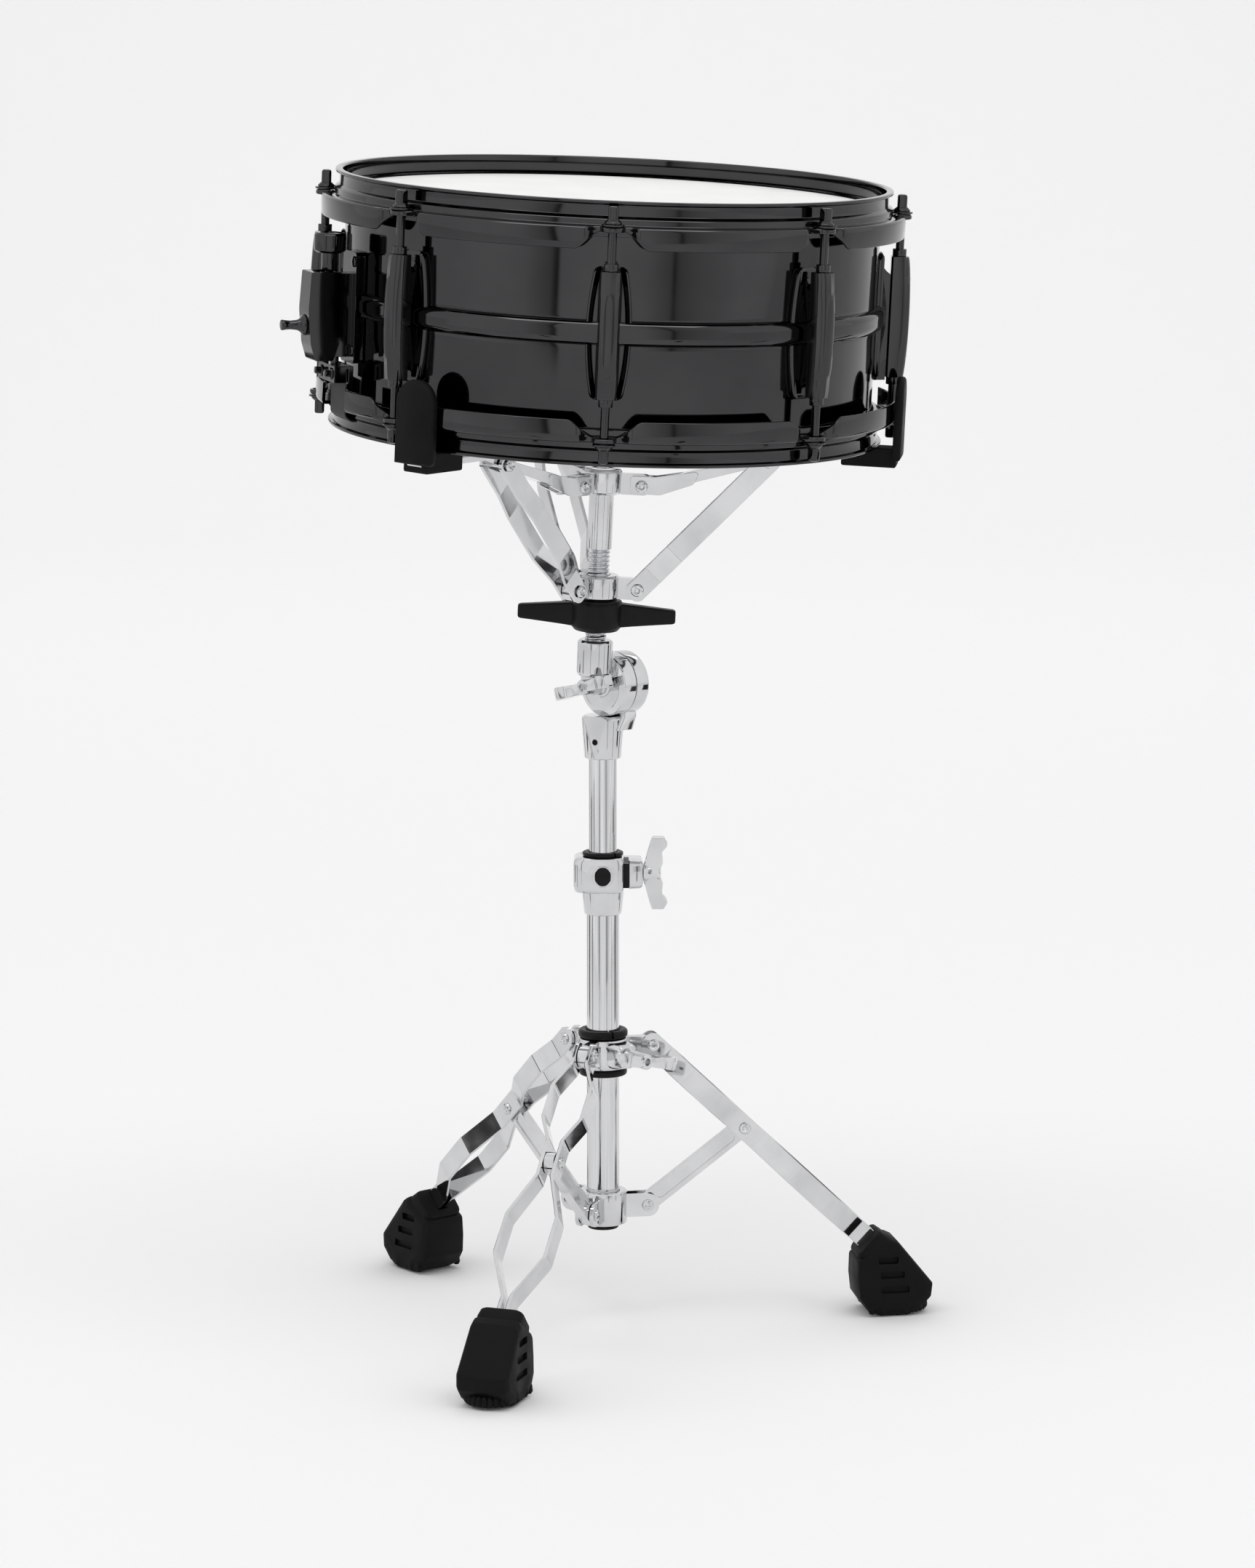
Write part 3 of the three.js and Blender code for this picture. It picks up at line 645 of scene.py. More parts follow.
def hoop_section(across):
    """The hoop's section at a distance round the ring from a rod, as (radius, height) points."""
    away = abs(across)
    band = smooth_step((away - 10) / 8)
    skirt = smooth_step((away - 7) / 17)
    ear = math.sqrt(max(0.0, 7.4 ** 2 - away ** 2))
    radius = max(BAND_RADIUS - 5.2 * (1 - band), ROD_CIRCLE - 0.6 + ear if ear else 0)
    foot = SHELF_TOP - 3.4 + (BAND_FOOT - SHELF_TOP + 3.4) * skirt
    skirt_radius = radius - 1.6 * skirt * (1 - band) - 0.5 * skirt
    wall = [(184.2, SHELF_TOP, 1.0), (184.2, 155.2, 1.5), (181.2, 157.6, 1.2)]
    lip = [(181.2, 164.4, 0.8), (184.0, 165.0, 0.7), (184.0, 167.0, 0.9), (179.0, 167.0, 1.1)]
    inner = [(179.0, 156.4, 1.2), (182.0, 154.2, 1.2), (182.0, SHELF_TOP - HOOP_SHEET, 0.3)]
    band_out = [(skirt_radius, foot, 0.9), (radius, SHELF_TOP, 2.6)]
    band_in = [(radius - HOOP_SHEET, SHELF_TOP - HOOP_SHEET, 0.5), (skirt_radius - 1.9, foot, 0.5)]
    return rounded(band_out + wall + lip + inner + band_in, 0.5, 4)


def hoop_shape(gates=()):
    """A triple-flanged hoop: rolled lip, wall, shelf, and a band interrupted at each rod."""
    reach = math.pi * ROD_CIRCLE / LUG_COUNT
    offsets = [0.0]
    while offsets[-1] < 27:
        offsets.append(offsets[-1] + 0.9)
    coarse = 9
    offsets += [offsets[-1] + (reach - offsets[-1]) * (k + 1) / coarse for k in range(coarse)]
    around = [-value for value in reversed(offsets[1:])] + offsets[:-1]
    rows = []
    for lug in LUG_ANGLES:
        for across in around:
            angle = math.radians(lug) + across / ROD_CIRCLE
            rows.append([(r * math.cos(angle), r * math.sin(angle), z)
                         for r, z in hoop_section(across)])
    holes = [rod(3.2, SHELF_TOP - 6, SHELF_TOP + 4, 24).placed(turn(lug, "Z") @ shift(ROD_CIRCLE))
             for lug in LUG_ANGLES]
    return carved(skin(rows, looped=True), *holes, *gates)


def gate_tools():
    """The snare gates: openings in the bottom hoop's band for the straps, as a top hoop."""
    gate = prism_x(oblong((-22, 22), (130, 160), 6, 6), 183.5, 199)
    return around(gate, (-STRAINER_AZIMUTH, -BUTT_AZIMUTH))


def lug_foot_section(half, height, swell):
    """The foot's section across the shell, following the shell's curve, with a raised rim."""
    rim = [(0.4, half), (2.3, half), (3.3, half - 0.5), (3.7, half - 1.3), (3.3, half - 2.2),
           (2.3, half - 3.2), (2.1, half - 4.6)]
    across = [(x, -y) for x, y in rim] + [(x, y) for x, y in reversed(rim)]
    return [(SHELL_RADIUS + 0.4 + (x - 0.4) * swell - y * y / (2 * SHELL_RADIUS), y, height)
            for x, y in across]


def lug_foot():
    rows = []
    for step in range(57):
        along = -1 + step / 28
        half = 10.2 + 4.3 * (1 - along ** 2)
        corner = min(1.0, (1 - abs(along)) / 0.09)
        fall = math.sqrt(max(0.0, 1 - (1 - corner) ** 2))
        rows.append(lug_foot_section(half * (0.74 + 0.26 * fall), LUG_FOOT_HALF * along,
                                     0.45 + 0.55 * fall))
    bead = prism_y(rounded([(170, -9.8), (SHELL_RADIUS + BEAD_RISE + 0.5, -6.4),
                            (SHELL_RADIUS + BEAD_RISE + 0.5, 6.4), (170, 9.8)], 2, 4), -20, 20)
    return carved(skin(rows), bead)


def lug_barrel():
    """The faceted barrel: a long lens between two flutes, square-shouldered at its ends."""
    rows = []
    for step in range(49):
        along = -1 + step / 24
        height = LUG_HALF * along
        bow = 1 - along ** 2
        half = 6.5 + 0.4 * bow
        front = 196.0 + 2.7 * math.sqrt(bow + 0.02)
        lens = 3.1 * math.sqrt(max(0.0, 1 - (along / 0.66) ** 2)) + 0.3
        dip = 1.0 * bow + 0.15
        right = [(184.6, half - 1.4), (185.8, half), (192.6, half),
                 (194.6 + 1.4 * bow, half - 0.9), (front - dip, (half + lens) / 2 - 0.2),
                 (front - 0.25, lens)]
        rows.append([(x, -y, height) for x, y in right] + [(front, 0, height)]
                    + [(x, y, height) for x, y in reversed(right)])
    return skin(rows)


def lug_web():
    """The web that bows from the foot's ends to the middle of the barrel."""
    low = arc((192, -40.5), 14.5, 180, 90, 10)
    high = arc((192, 40.5), 14.5, 270, 180, 10)
    outline = [(178.4, -37)] + low + [(192, 0)] + high + [(178.4, 37)]
    rib = prism_y(outline, -2.6, 2.6)
    outer = arc((187, -52), 24, 160, 80, 10)
    upper = arc((187, 52), 24, 280, 200, 10)
    flank = prism_y([(178.7, -35.5)] + outer[2:] + [(188, 0)] + upper[:-2] + [(178.7, 35.5)],
                    -4.6, 4.6)
    notch = prism_y([(170, -8.6), (182.9, -6.6), (182.9, 6.6), (170, 8.6)], -20, 20)
    return carved(joined(rib, flank), notch)


def tension_rod():
    """One upper tension rod in its radial frame: square head, collar, washer, shaft, thread."""
    seat = SHELF_TOP + 0.3
    levels = ((3.2, 2.7), (3.8, 3.25), (11.2, 3.2), (12.2, 2.7), (12.5, 1.9))
    head = post([(seat + h, w) for h, w in levels], 16, 0.42)
    collar = spun([(0, seat + 1.2), (5.6, seat + 1.2, 0.5), (5.5, seat + 2.4, 0.8),
                   (3.6, seat + 4.2, 1.0), (0, seat + 4.6)], 32)
    washer = ring(7.3, 2.9, seat, seat + 1.2, 40, 0.35)
    shaft = rod(ROD_RADIUS, 128, seat + 2, 24)
    thread = threaded(ROD_RADIUS - 0.05, 0.4, 1.0, DRUM_HEIGHT / 2 + 34, 128.5, 20)
    nut_low = DRUM_HEIGHT / 2 + LUG_HALF
    nut = ring(4.6, 2.4, nut_low - 0.4, nut_low + 5, 32, 0.5)
    return together([head, collar, washer, shaft, thread, nut])


def drum_pieces():
    metal = "black_nickel"
    piece("shell_spun", "drum", metal, shell_shape(), DRUM, replaces=["shell"])
    piece("batter_film", "drum", "drumhead", film_shape(), DRUM, replaces=["batter_head"])
    # The flesh hoops take the dark black nickel finish as painted shade: it makes the gap under
    # the hoop's band, where the flesh hoop shows, read as a dark hollow, though a flesh hoop is
    # bare silver metal.
    piece("batter_flesh_hoop", "drum", metal, flesh_hoop_shape(), DRUM)
    piece("snare_side_film", "drum", "drumhead", end_for_end(film_shape()), DRUM, material="film",
          replaces=["snare_side_head"])
    # The snare side's flesh hoop is dark as painted shade in the gap under its band, like the
    # batter side's.
    piece("snare_side_flesh_hoop", "drum", metal, end_for_end(flesh_hoop_shape()), DRUM)
    piece("top_hoop_pressed", "drum", metal, hoop_shape(), DRUM, crease=50,
          replaces=["top_hoop"])
    piece("bottom_hoop_pressed", "drum", metal, end_for_end(hoop_shape(gate_tools())), DRUM,
          crease=50, replaces=["bottom_hoop"])
    foot, barrel, web = lug_foot(), lug_barrel(), lug_web()
    lift = shift(z=DRUM_HEIGHT / 2)
    upper = tension_rod()
    lower = end_for_end(upper)
    screw_head = rod(5.2, -3.2, -0.2, 24, 0.7).placed(turn(90, "Y"))
    screw_slot = box((-4, 4), (-0.6, 0.6), (-3.6, -2.2)).placed(turn(90, "Y"))
    screw = carved(screw_head, screw_slot)
    for k, lug in enumerate(LUG_ANGLES, start=1):
        place = DRUM @ turn(lug, "Z")
        rod_place = place @ shift(ROD_CIRCLE)
        piece(f"lug_{k}_foot", "drum", metal, foot, place @ lift, crease=40)
        piece(f"lug_{k}_barrel", "drum", metal, barrel, place @ lift, 0.35, crease=40,
              replaces=[f"lug_{k}"])
        piece(f"lug_{k}_web", "drum", metal, web, place @ lift, 0.5, crease=40)
        piece(f"tension_rod_{k}_top", "drum", metal, upper, rod_place,
              replaces=[f"tension_rods_{k}"])
        piece(f"tension_rod_{k}_bottom", "drum", metal, lower, rod_place)
        for level, label in ((-1, "low"), (1, "high")):
            at = place @ shift(SHELL_RADIUS - SHELL_WALL, 0, DRUM_HEIGHT / 2 + LUG_SCREW * level)
            piece(f"lug_{k}_screw_{label}", "drum", "chrome", screw, at, 0.15)
    vent = spun_ring([(3.0, 0.1), (7.6, 0.1), (7.6, 0.9), (4.6, 2.6), (3.0, 2.6)], 40, 0.5)
    piece("vent_grommet", "drum", metal, vent, DRUM @ turn(VENT_AZIMUTH, "Z")
          @ shift(SHELL_RADIUS, 0, DRUM_HEIGHT / 2 + LUG_SCREW) @ turn(90, "Y"))


def lever_shape():
    """The shield: a bowed channel with a stepped face, its pin, and the trumpet handle."""
    outline = rounded([(191.5, 105, 1.5), (191.5, 60, 4), (196, 47.5, 1.5), (208, 47.5, 1.5),
                       (211.4, 58, 14), (213.6, 80, 30), (212.2, 105, 1.2)], 2, 6)
    hollow = box((189, 207.5), (-7.6, 7.6), (44, 108))
    channel = carved(prism_y(outline, -9.8, 9.8), hollow)
    face = prism_x(rounded([(-6.6, 52), (6.6, 52), (7.6, 62), (7.8, 102), (-7.8, 102), (-7.6, 62)],
                           1.5, 4), 209, 214.4)
    handle = lathe([(0, 0), (6.2, 0)] + arc((9.2, 9), 6.0, 250, 180, 8) + [
        (2.9, 12), (3.1, 15), (3.5, 17.2), (3.4, 18), (2.8, 18.2), (0, 18.2)], 40)
    return (carved(channel, face.placed(shift(4.6))) + rod_y(2.5, -8, 8, (200, 54), 24)
            + handle.placed(shift(210.6, 0, 70) @ turn(90, "Y")))


def snare_strand():
    """One coiled strand along X, soldered into both end plates."""
    return threaded(1.05, 0.35, 2.4, -143, 143, 6).placed(turn(90, "Y"))


def strap_shape():
    path = rounded([(138, 9.4), (183.6, 8.6), (188, 12), (188, 42.2)], 3.5, 8, closed=False)
    rows = []
    for i, point in enumerate(path):
        ahead = Vector(path[min(i + 1, len(path) - 1)]) - Vector(path[max(i - 1, 0)])
        side = ahead.normalized().orthogonal() * 0.4
        inner, outer = Vector(point) + side, Vector(point) - side
        rows.append([(inner.x, -STRAP_HALF, inner.y), (inner.x, STRAP_HALF, inner.y),
                     (outer.x, STRAP_HALF, outer.y), (outer.x, -STRAP_HALF, outer.y)])
    return skin(rows)


def strainer_pieces():
    metal = "black_nickel"
    place = DRUM @ turn(STRAINER_AZIMUTH, "Z")
    butt = DRUM @ turn(BUTT_AZIMUTH, "Z")
    middle = DRUM_HEIGHT / 2
    bead = prism_y([(170, middle - 9.5), (SHELL_RADIUS + BEAD_RISE + 0.6, middle - 6.4),
                    (SHELL_RADIUS + BEAD_RISE + 0.6, middle + 6.4), (170, middle + 9.5)], -30, 30)
    plate = prism_x(oblong((-13, 13), (46, 118), 3, 5), SHELL_RADIUS + 0.4, 183.2)
    block = prism_y(rounded([(180, 50), (203, 50), (205, 54), (205, 100), (202, 104), (180, 104)],
                            2, 4), -6.5, 6.5)
    bores = [rod(3.1, 45, 66, 24).placed(shift(191.5)), rod(3.3, 84, 105.5, 24).placed(shift(197)),
             rod_y(2.9, -8, 8, (200, 54), 24)]
    housing = carved(joined(plate, block), bead, *bores)
    piece("strainer_body", "drum", metal, housing, place, 0.6, replaces=["strainer_housing"])
    screw = spun([(0, 0), (3.6, 0, 0.3), (3.4, 1.6, 1.0), (0, 2.4)], 28)
    for k, height in enumerate((54, 112), start=1):
        piece(f"strainer_screw_{k}", "drum", metal, screw,
              place @ shift(183.0, 9.6, height) @ turn(90, "Y"))
    piece("throw_off_lever", "throw_lever", metal, lever_shape(), place, 0.9, 3,
          replaces=["strainer_lever"])
    knob = spun([(0, 117), (8.4, 117, 0.6), (10.4, 118.6, 1.6), (10.5, 128.6, 1.6), (9, 130, 0.8),
                 (2.6, 129.6, 0.5), (0, 129.4)], 64, 5)
    stem = ring(5.2, 2.5, 105.6, 117.4, 40, 0.4)
    thread = threaded(2.9, 0.45, 1.25, 86, 108, 20)
    piece("tension_knob", "strainer_knob", metal, together([knob, stem, thread]),
          place @ shift(197), replaces=["strainer_knob"])
    jaws = carved(joined(box((183.8, 197), (-16, 16), (34, 45)),
                         rod(2.7, 44, 64, 24).placed(shift(191.5))),
                  box((187.2, 188.8), (-17, 17), (33, 42.9)))
    piece("snare_clamp", "snare_set", metal, jaws, place, 0.7, replaces=["strainer_clamp"])
    butt_plate = prism_x(oblong((-16, 16), (34, 74), 3, 5), SHELL_RADIUS + 0.4, 183.2)
    butt_block = carved(joined(butt_plate, box((180, 197), (-16, 16), (34, 50))), bead,
                        box((187.2, 188.8), (-17, 17), (33, 43.5)))
    piece("butt_block", "drum", metal, butt_block, butt, 0.7, replaces=["butt_plate"])
    bolt = (post(((-0.5, 2.2), (1.6, 2.3), (4.6, 2.2), (5, 1.6)), 16, 0.45)
            + rod(3.9, -0.4, 1.4, 28, 0.5))
    for at, body, label in ((place, "snare_set", "strainer"), (butt, "drum", "butt")):
        for side, hand in ((-9.5, "left"), (9.5, "right")):
            piece(f"{label}_clamp_bolt_{hand}", body, metal, bolt,
                  at @ shift(CLAMP_BOLT_FACE, side, 39.5) @ turn(90, "Y"))
    strands = [snare_strand().placed(shift(0, (k - 7.5) * 2.6, 10.9)) for k in range(16)]
    piece("snare_strands", "snare_set", "snare_steel", together(strands), place,
          replaces=["snare_wires"])
    end_plate = prism(rounded([(137, -20.5), (147, -20.5), (149.5, -16), (149.5, 16),
                               (147, 20.5), (137, 20.5)], 1.5, 4), 9.9, 11.6)
    strap = strap_shape()
    for label, at in (("strainer", place), ("butt", butt)):
        piece(f"snare_end_plate_{label}", "snare_set", "snare_steel", end_plate, at, 0.3,
              material="end_plate")
        piece(f"snare_strap_{label}", "snare_set", "plastic", strap, at, material="strap")


# ------------------------------------------------------------------ wing bolts, rivets and screws


def wing_shape(seat, hub_length):
    """A cast wing bolt along X: a flanged hub with two scalloped wings in the XZ plane."""
    end = seat + hub_length
    hub = spun([(0, seat), (6.6, seat, 0.6), (6.6, seat + 2.2, 0.8), (5.8, seat + 3.2, 0.8),
                (5.2, end - 6, 2), (5.4, end, 1.2), (2.6, end, 0.4), (2.4, end - 7),
                (0, end - 7)], 40)
    wing = [(-12, 5, 3), (-7.5, WING_SPAN - 4, 3), (-6, WING_SPAN, 1.4), (2, WING_SPAN, 1.4),
            (5, WING_SPAN - 5, 2), (0.8, WING_SPAN - 9.5, 3), (1.5, 7, 4), (0, 3, 3)]
    outline = rounded([(end - 13, 0)] + [(end + x, -z, r) for x, z, r in wing]
                      + [(end + x, z, r) for x, z, r in reversed(wing)], 2, 3)
    rows = []
    for level, inset in ((-1, 0.9), (-0.72, 0.15), (0.72, 0.15), (1, 0.9)):
        row = []
        for (x, z), pulled in zip(outline, drawn_in(outline, (end - 3, 0), inset)):
            flare = 0.62 + 0.38 * min(1.0, (abs(z) / WING_SPAN) ** 1.4 + 0.15)
            row.append((pulled.x, level * WING_DEPTH / 2 * flare, pulled.y))
        rows.append(row)
    bore = rod_x(2.4, end - 7, end + 6, 0, 28)
    return carved(joined(hub.placed(turn(90, "Y")), skin(rows)), bore)


def bolt_shape(start, seat):
    return threaded(2.9, 0.4, 1.25, start, seat + 2, 20).placed(turn(90, "Y"))


def wing_bolt(label, wing, thread, place):
    """A wing bolt's casting and thread, on the body that turns with it."""
    body = f"{label}_wing"
    casting(f"{label}_wing_casting", body, wing, place, 0.5, [f"{label}_wing_bolt"])
    piece(f"{label}_wing_thread", body, "chrome", thread, place, material="steel_thread",
          crease=60)


def rivet_shape(reach):
    """A tubular rivet along Y: a rolled rim round a dimple at each end."""
    outline = [(0, 0.5), (1.2, 0.4), (1.7, 1.1), (2.5, 1.5), (3.5, 1.2), (RIVET_HEAD, 0.3),
               (RIVET_HEAD, -0.2), (RIVET_SHANK, -0.2)]
    front = [(r, reach + z) for r, z in outline]
    back = [(r, -z) for r, z in reversed(front)]
    return lathe(front + back, 32).placed(turn(-90, "X"))


def cross_screw():
    """A screw head with a crossed slot."""
    head = spun([(0, 0), (4.2, 0, 0.2), (3.948, 1.4, 1.0), (0, 2.6)], 32, 5)
    cross = box((-2.2, 2.2), (-0.45, 0.45), (1.2, 4))
    return carved(head, cross, cross.placed(turn(90, "Z")))


# ------------------------------------------------------------------ basket


def arm_bar():
    """The arm's flat bar: out from the hub, up to the drum's rim and up again inside its grip."""
    top = [(40, 143.6), (60, 150), (130, 168.4), (195.2, 168.4, 1.5), (195.2, 209.6)]
    low = [(197.3, 209.6), (197.3, 164.4, 3), (132, 164.4), (60, 142), (40, 135)]
    return prism_y(rounded(top + low, 2, 4), -5.8, 5.8)


def arm_cheek(side):
    outline = rounded([(19.6, 132.8, 2), (40, 132.8, 6), (62, 141.2, 3), (66, 150.5, 2),
                       (36, 144.6, 4), (19.6, 144.6, 2)], 2, 5)
    low, high = sorted((side * (EAR_HALF + 0.5), side * 6.4))
    return prism_y(outline, low, high)


def hub_ear(low, high, hole):
    outline = rounded([(9, low, 0.5), (34.4, low, 6.4), (34.4, high, 6.4), (9, high, 0.5)], 2, 6)
    ear = prism_y(outline, -EAR_HALF, EAR_HALF)
    return carved(ear, rod_y(2.9, -5, 5, hole, 28))


def link_strip(side, length):
    inner = FORK + 1.2
    path = [(-7.4, inner), (15, inner), (37, 11), (78, 11), (100, 8), (length + 7.4, 8)]
    strip = ribbon([(x, side * y) for x, y in path], STRIP, 7.2, 7)
    ends = oblong((-7.2, length + 7), (-7.4, 7.4), 6.4, 8)
    return solid("INTERSECT", strip, [prism_y(ends, -30, 30)])


def paddle_shape():
    """The rubber paddle: a slab with a round top, its outer face crowned."""
    outline = rounded([(-15.4, 166.2, 3.5), (15.4, 166.2, 3.5), (15.4, 206)], 2, 5, closed=False)
    outline += arc((0, 205.4), 15.4, 2, 178, 26) + [(-15.4, 206)]
    rows = []
    for x, inset in ((GRIP_INNER + 0.1, 1.0), (GRIP_INNER + 0.7, 0.2), (GRIP_INNER + 3.6, 0.0),
                     (GRIP_INNER + 4.9, 0.5), (GRIP_INNER + 5.5, 1.5)):
        rows.append([(x, pulled.x, pulled.y) for pulled in drawn_in(outline, (0, 194), inset)])
    return skin(rows)


def basket_pieces():
    chrome = "chrome"
    screw = threaded(SPINDLE_RADIUS, 1.1, 3.0, 12.2, 94, 40)
    piece("spindle_screw", "head", chrome, screw, BASKET, material="steel_thread", crease=60)
    sleeve = spun([(0, 93.5), (SLEEVE_RADIUS, 93.5, 0.8), (SLEEVE_RADIUS, 132.5), (0, 132.5)], 64)
    hub = spun([(0, 131), (11.2, 131, 1.2), (13.4, 133, 1.5), (13.5, 146.4, 1.5), (12, 148, 1.0),
                (4.4, 148, 0.6), (3.8, 145.6), (0, 145.6)], 64)
    piece("spindle_sleeve", "head", chrome, sleeve, BASKET)
    ears = around(hub_ear(131.6, 145.4, HUB_PIVOT), ARM_AZIMUTHS)
    piece("basket_hub", "head", chrome, joined(hub, *ears), BASKET, 0.6,
          replaces=["basket_spindle"])
    collar = spun_ring([(8.2, NUT_TOP + 0.4), (13.6, NUT_TOP + 0.4, 1), (14.5, 62, 1),
                        (14.5, 75, 1.2), (13, 76.4, 0.8), (8.2, 76.4)], 64, 0.4)
    ears = around(hub_ear(60.8, 75.2, SLIDER_PIVOT), ARM_AZIMUTHS)
    bore = rod(8.1, NUT_TOP, 77, 64)
    piece("basket_slider_casting", "slider", chrome, carved(joined(collar, *ears), bore), BASKET,
          0.6, replaces=["basket_slider"])
    nut_hub = spun_ring([(8.2, NUT_BOTTOM), (14.6, NUT_BOTTOM, 1.5), (17.0, 41.4, 2),
                         (17.5, 56.6, 2), (16.2, NUT_TOP, 1.2), (8.2, NUT_TOP)], 72, 0.6, 5)
    wing = lofted(((13, 6.2, 41.0, 57.6), (24, 5.2, 42.2, 56.6), (45, 4.3, 44.2, 54.8),
                   (51, 4.2, 44.7, 54.3), (52.6, 3.7, 45.3, 53.7), (53, 2.8, 46.4, 52.6)), 1.6, 4)
    wings = around(wing, (0, 180))
    bore = rod(8.1, NUT_BOTTOM - 1, NUT_TOP + 1, 64)
    piece("tee_nut", "nut", "plastic", carved(joined(nut_hub, *wings), bore), BASKET, 0.4,
          replaces=["basket_nut"])
    length, rise = span(SLIDER_PIVOT, LINK_END)
    strips = [link_strip(side, length) for side in (-1, 1)]
    cheeks = [arm_cheek(side) for side in (-1, 1)]
    cheek_gap = EAR_HALF + 0.5
    channel = carved(joined(arm_bar(), *cheeks),
                     box((18, 38), (-cheek_gap, cheek_gap), (128, 152)))
    paddle = paddle_shape()
    sleeve_outline = rounded([(159.5, 160.9, 1.5), (196, 160.9, 1.5), (196, DRUM_SEAT - 0.4, 0.8),
                              (159.5, DRUM_SEAT - 0.4, 1.5)], 1, 4)
    boot = carved(prism_y(sleeve_outline, -9.4, 9.4), box((155, 193), (-6, 6), (164, 169)))
    for k, azimuth in enumerate(ARM_AZIMUTHS, start=1):
        place = BASKET @ turn(azimuth, "Z")
        arm = f"arm_{k}"
        piece(f"arm_{k}_channel", arm, chrome, channel, place, 0.7, 3, replaces=[f"arm_{k}"])
        piece(f"arm_{k}_rivet", arm, chrome, rivet_shape(6.6), place @ out_to(HUB_PIVOT))
        piece(f"grip_{k}_sleeve", arm, "rubber", boot, place, 0.5)
        piece(f"grip_{k}_paddle", arm, "rubber", paddle, place, crease=60,
              replaces=[f"grip_{k}"])
        link = f"link_{k}"
        at = place @ out_to(SLIDER_PIVOT) @ turn(-rise, "Y")
        for side, strip in zip(("right", "left"), strips):
            piece(f"link_{k}_{side}", link, chrome, strip, at, crease=40,
                  replaces=[f"link_{k}"] if side == "left" else ())
        piece(f"link_{k}_rivet_low", link, chrome, rivet_shape(FORK + 3.5), at)
        piece(f"link_{k}_rivet_high", arm, chrome, rivet_shape(10.4),
              at @ shift(length))


# ------------------------------------------------------------------ tilter


def disc_shape(inner, outer, crown):
    """One half of the tilter's toothed pair: a disc along X with a crowned outer face."""
    thick = abs(outer - inner)
    edge = DISC_RADIUS - 0.4
    disc = spun([(0, 0), (edge, 0, 0.5), (edge, thick - crown, 1.6),
                 (DISC_RADIUS - 5, thick - 0.4, 3), (0, thick)], 96, 5)
    return disc.placed(shift(inner) @ turn(90 if outer > inner else -90, "Y"))


def serrated_seam():
    """The radial teeth between the two discs."""
    rows = []
    for x in (-0.2, 0.2):
        row = []
        for i in range(144):
            radius = DISC_RADIUS - (1.1 if i % 2 else 1.9)
            angle = math.pi * i / 72
            row.append((x, radius * math.cos(angle), radius * math.sin(angle)))
        rows.append(row)
    return skin(rows)


def tilter_pieces():
    rear = disc_shape(-0.3, -DISC_DEPTH, 1.2)
    neck_rows = []
    for z, low, high, back, front in ((-6.5, -13, -1.2, -11, 8), (-14, -13, -0.9, -11.4, 9),
                                      (-22, -12.4, 2, -11.8, 10.6), (-31, -9, 7.5, -10.4, 10.4)):
        outline = oblong((low, high), (back, front), 3.6, 5)
        neck_rows.append([(x, y, z) for x, y in outline])
    lower = joined(rear, skin(neck_rows))
    casting("tilter_lower_disc", "upper_column", lower, LOWER_TILTER, 0.8, ["tilter_lower"])
    recess = prism_y([(-9.5, -20), (9.5, -20), (0.8, -50), (-0.8, -50)], 11.6, 20)
    socket = spun([(0, -51), (12.4, -51, 1.2), (14.5, -23, 2.0), (12.4, -21.6, 1.5),
                   (0, -21.2)], 72, 5)
    hole = rod_y(2.1, 9.5, 20, (0, -39), 24)
    tube_bore = rod(UPPER_TUBE[0] + 0.15, -52, -34.5, 64)
    for_recess = turn(RECESS_AZIMUTH - 90, "Z")
    socket = carved(socket, recess.placed(for_recess), hole.placed(for_recess), tube_bore)
    at = COLUMN @ shift(z=TILT_HEIGHT)
    casting("tilter_lower_socket", "upper_column", socket, at, 0.5)
    set_screw = carved(rod_y(2.0, 10.2, 11.0, (0, -39), 24), rod_y(1.1, 10.5, 12, (0, -39), 6))
    piece("tilter_set_screw", "upper_column", "plastic", set_screw, at @ for_recess)
    piece("tilter_seam_lower", "upper_column", "plastic", serrated_seam().placed(shift(-0.25)),
          LOWER_TILTER)
    front = disc_shape(0.3, DISC_DEPTH, 1.6)
    upper_socket = spun([(0, 7.5), (11.0, 7.5, 1.4), (12, 10, 2), (12, 30.4, 1.6),
                         (10.6, SOCKET_TOP, 0.8), (0, SOCKET_TOP)], 64, 5)
    web = lofted(((1.6, 12.6, 6, 20.2), (5, 11.4, 6, 20.6), (9, 9.8, 7, 20.4),
                  (14, 8.6, 8.2, 22.4), (19, 8.0, 9.4, 26)), 3.4, 5)
    casting("tilter_upper_casting", "head",
            joined(front, upper_socket.placed(shift(SPINDLE_OFFSET)), web), TILTER, 0.9,
            ["tilter_upper"])
    rim = spun([(0, 0), (8.4, 0, 0.4), (8.4, 1.0, 0.6), (7.4, 1.7, 0.5), (0, 1.7)], 48)
    piece("tilter_bolt_washer", "head", "chrome", rim,
          TILTER @ shift(DISC_DEPTH - 0.5) @ turn(90, "Y"))
    wing = carved(wing_shape(13.3, 18.2), rod_x(2.4, 28, 40, 0, 28))
    wing_bolt("tilter", wing, bolt_shape(-12.5, 27), TILTER @ turn(-70, "X"))


# ------------------------------------------------------------------ column


def tube_shape(sizes):
    outer, inner, low, high = sizes
    return ring(outer, inner, low, high, 96, 0.5)


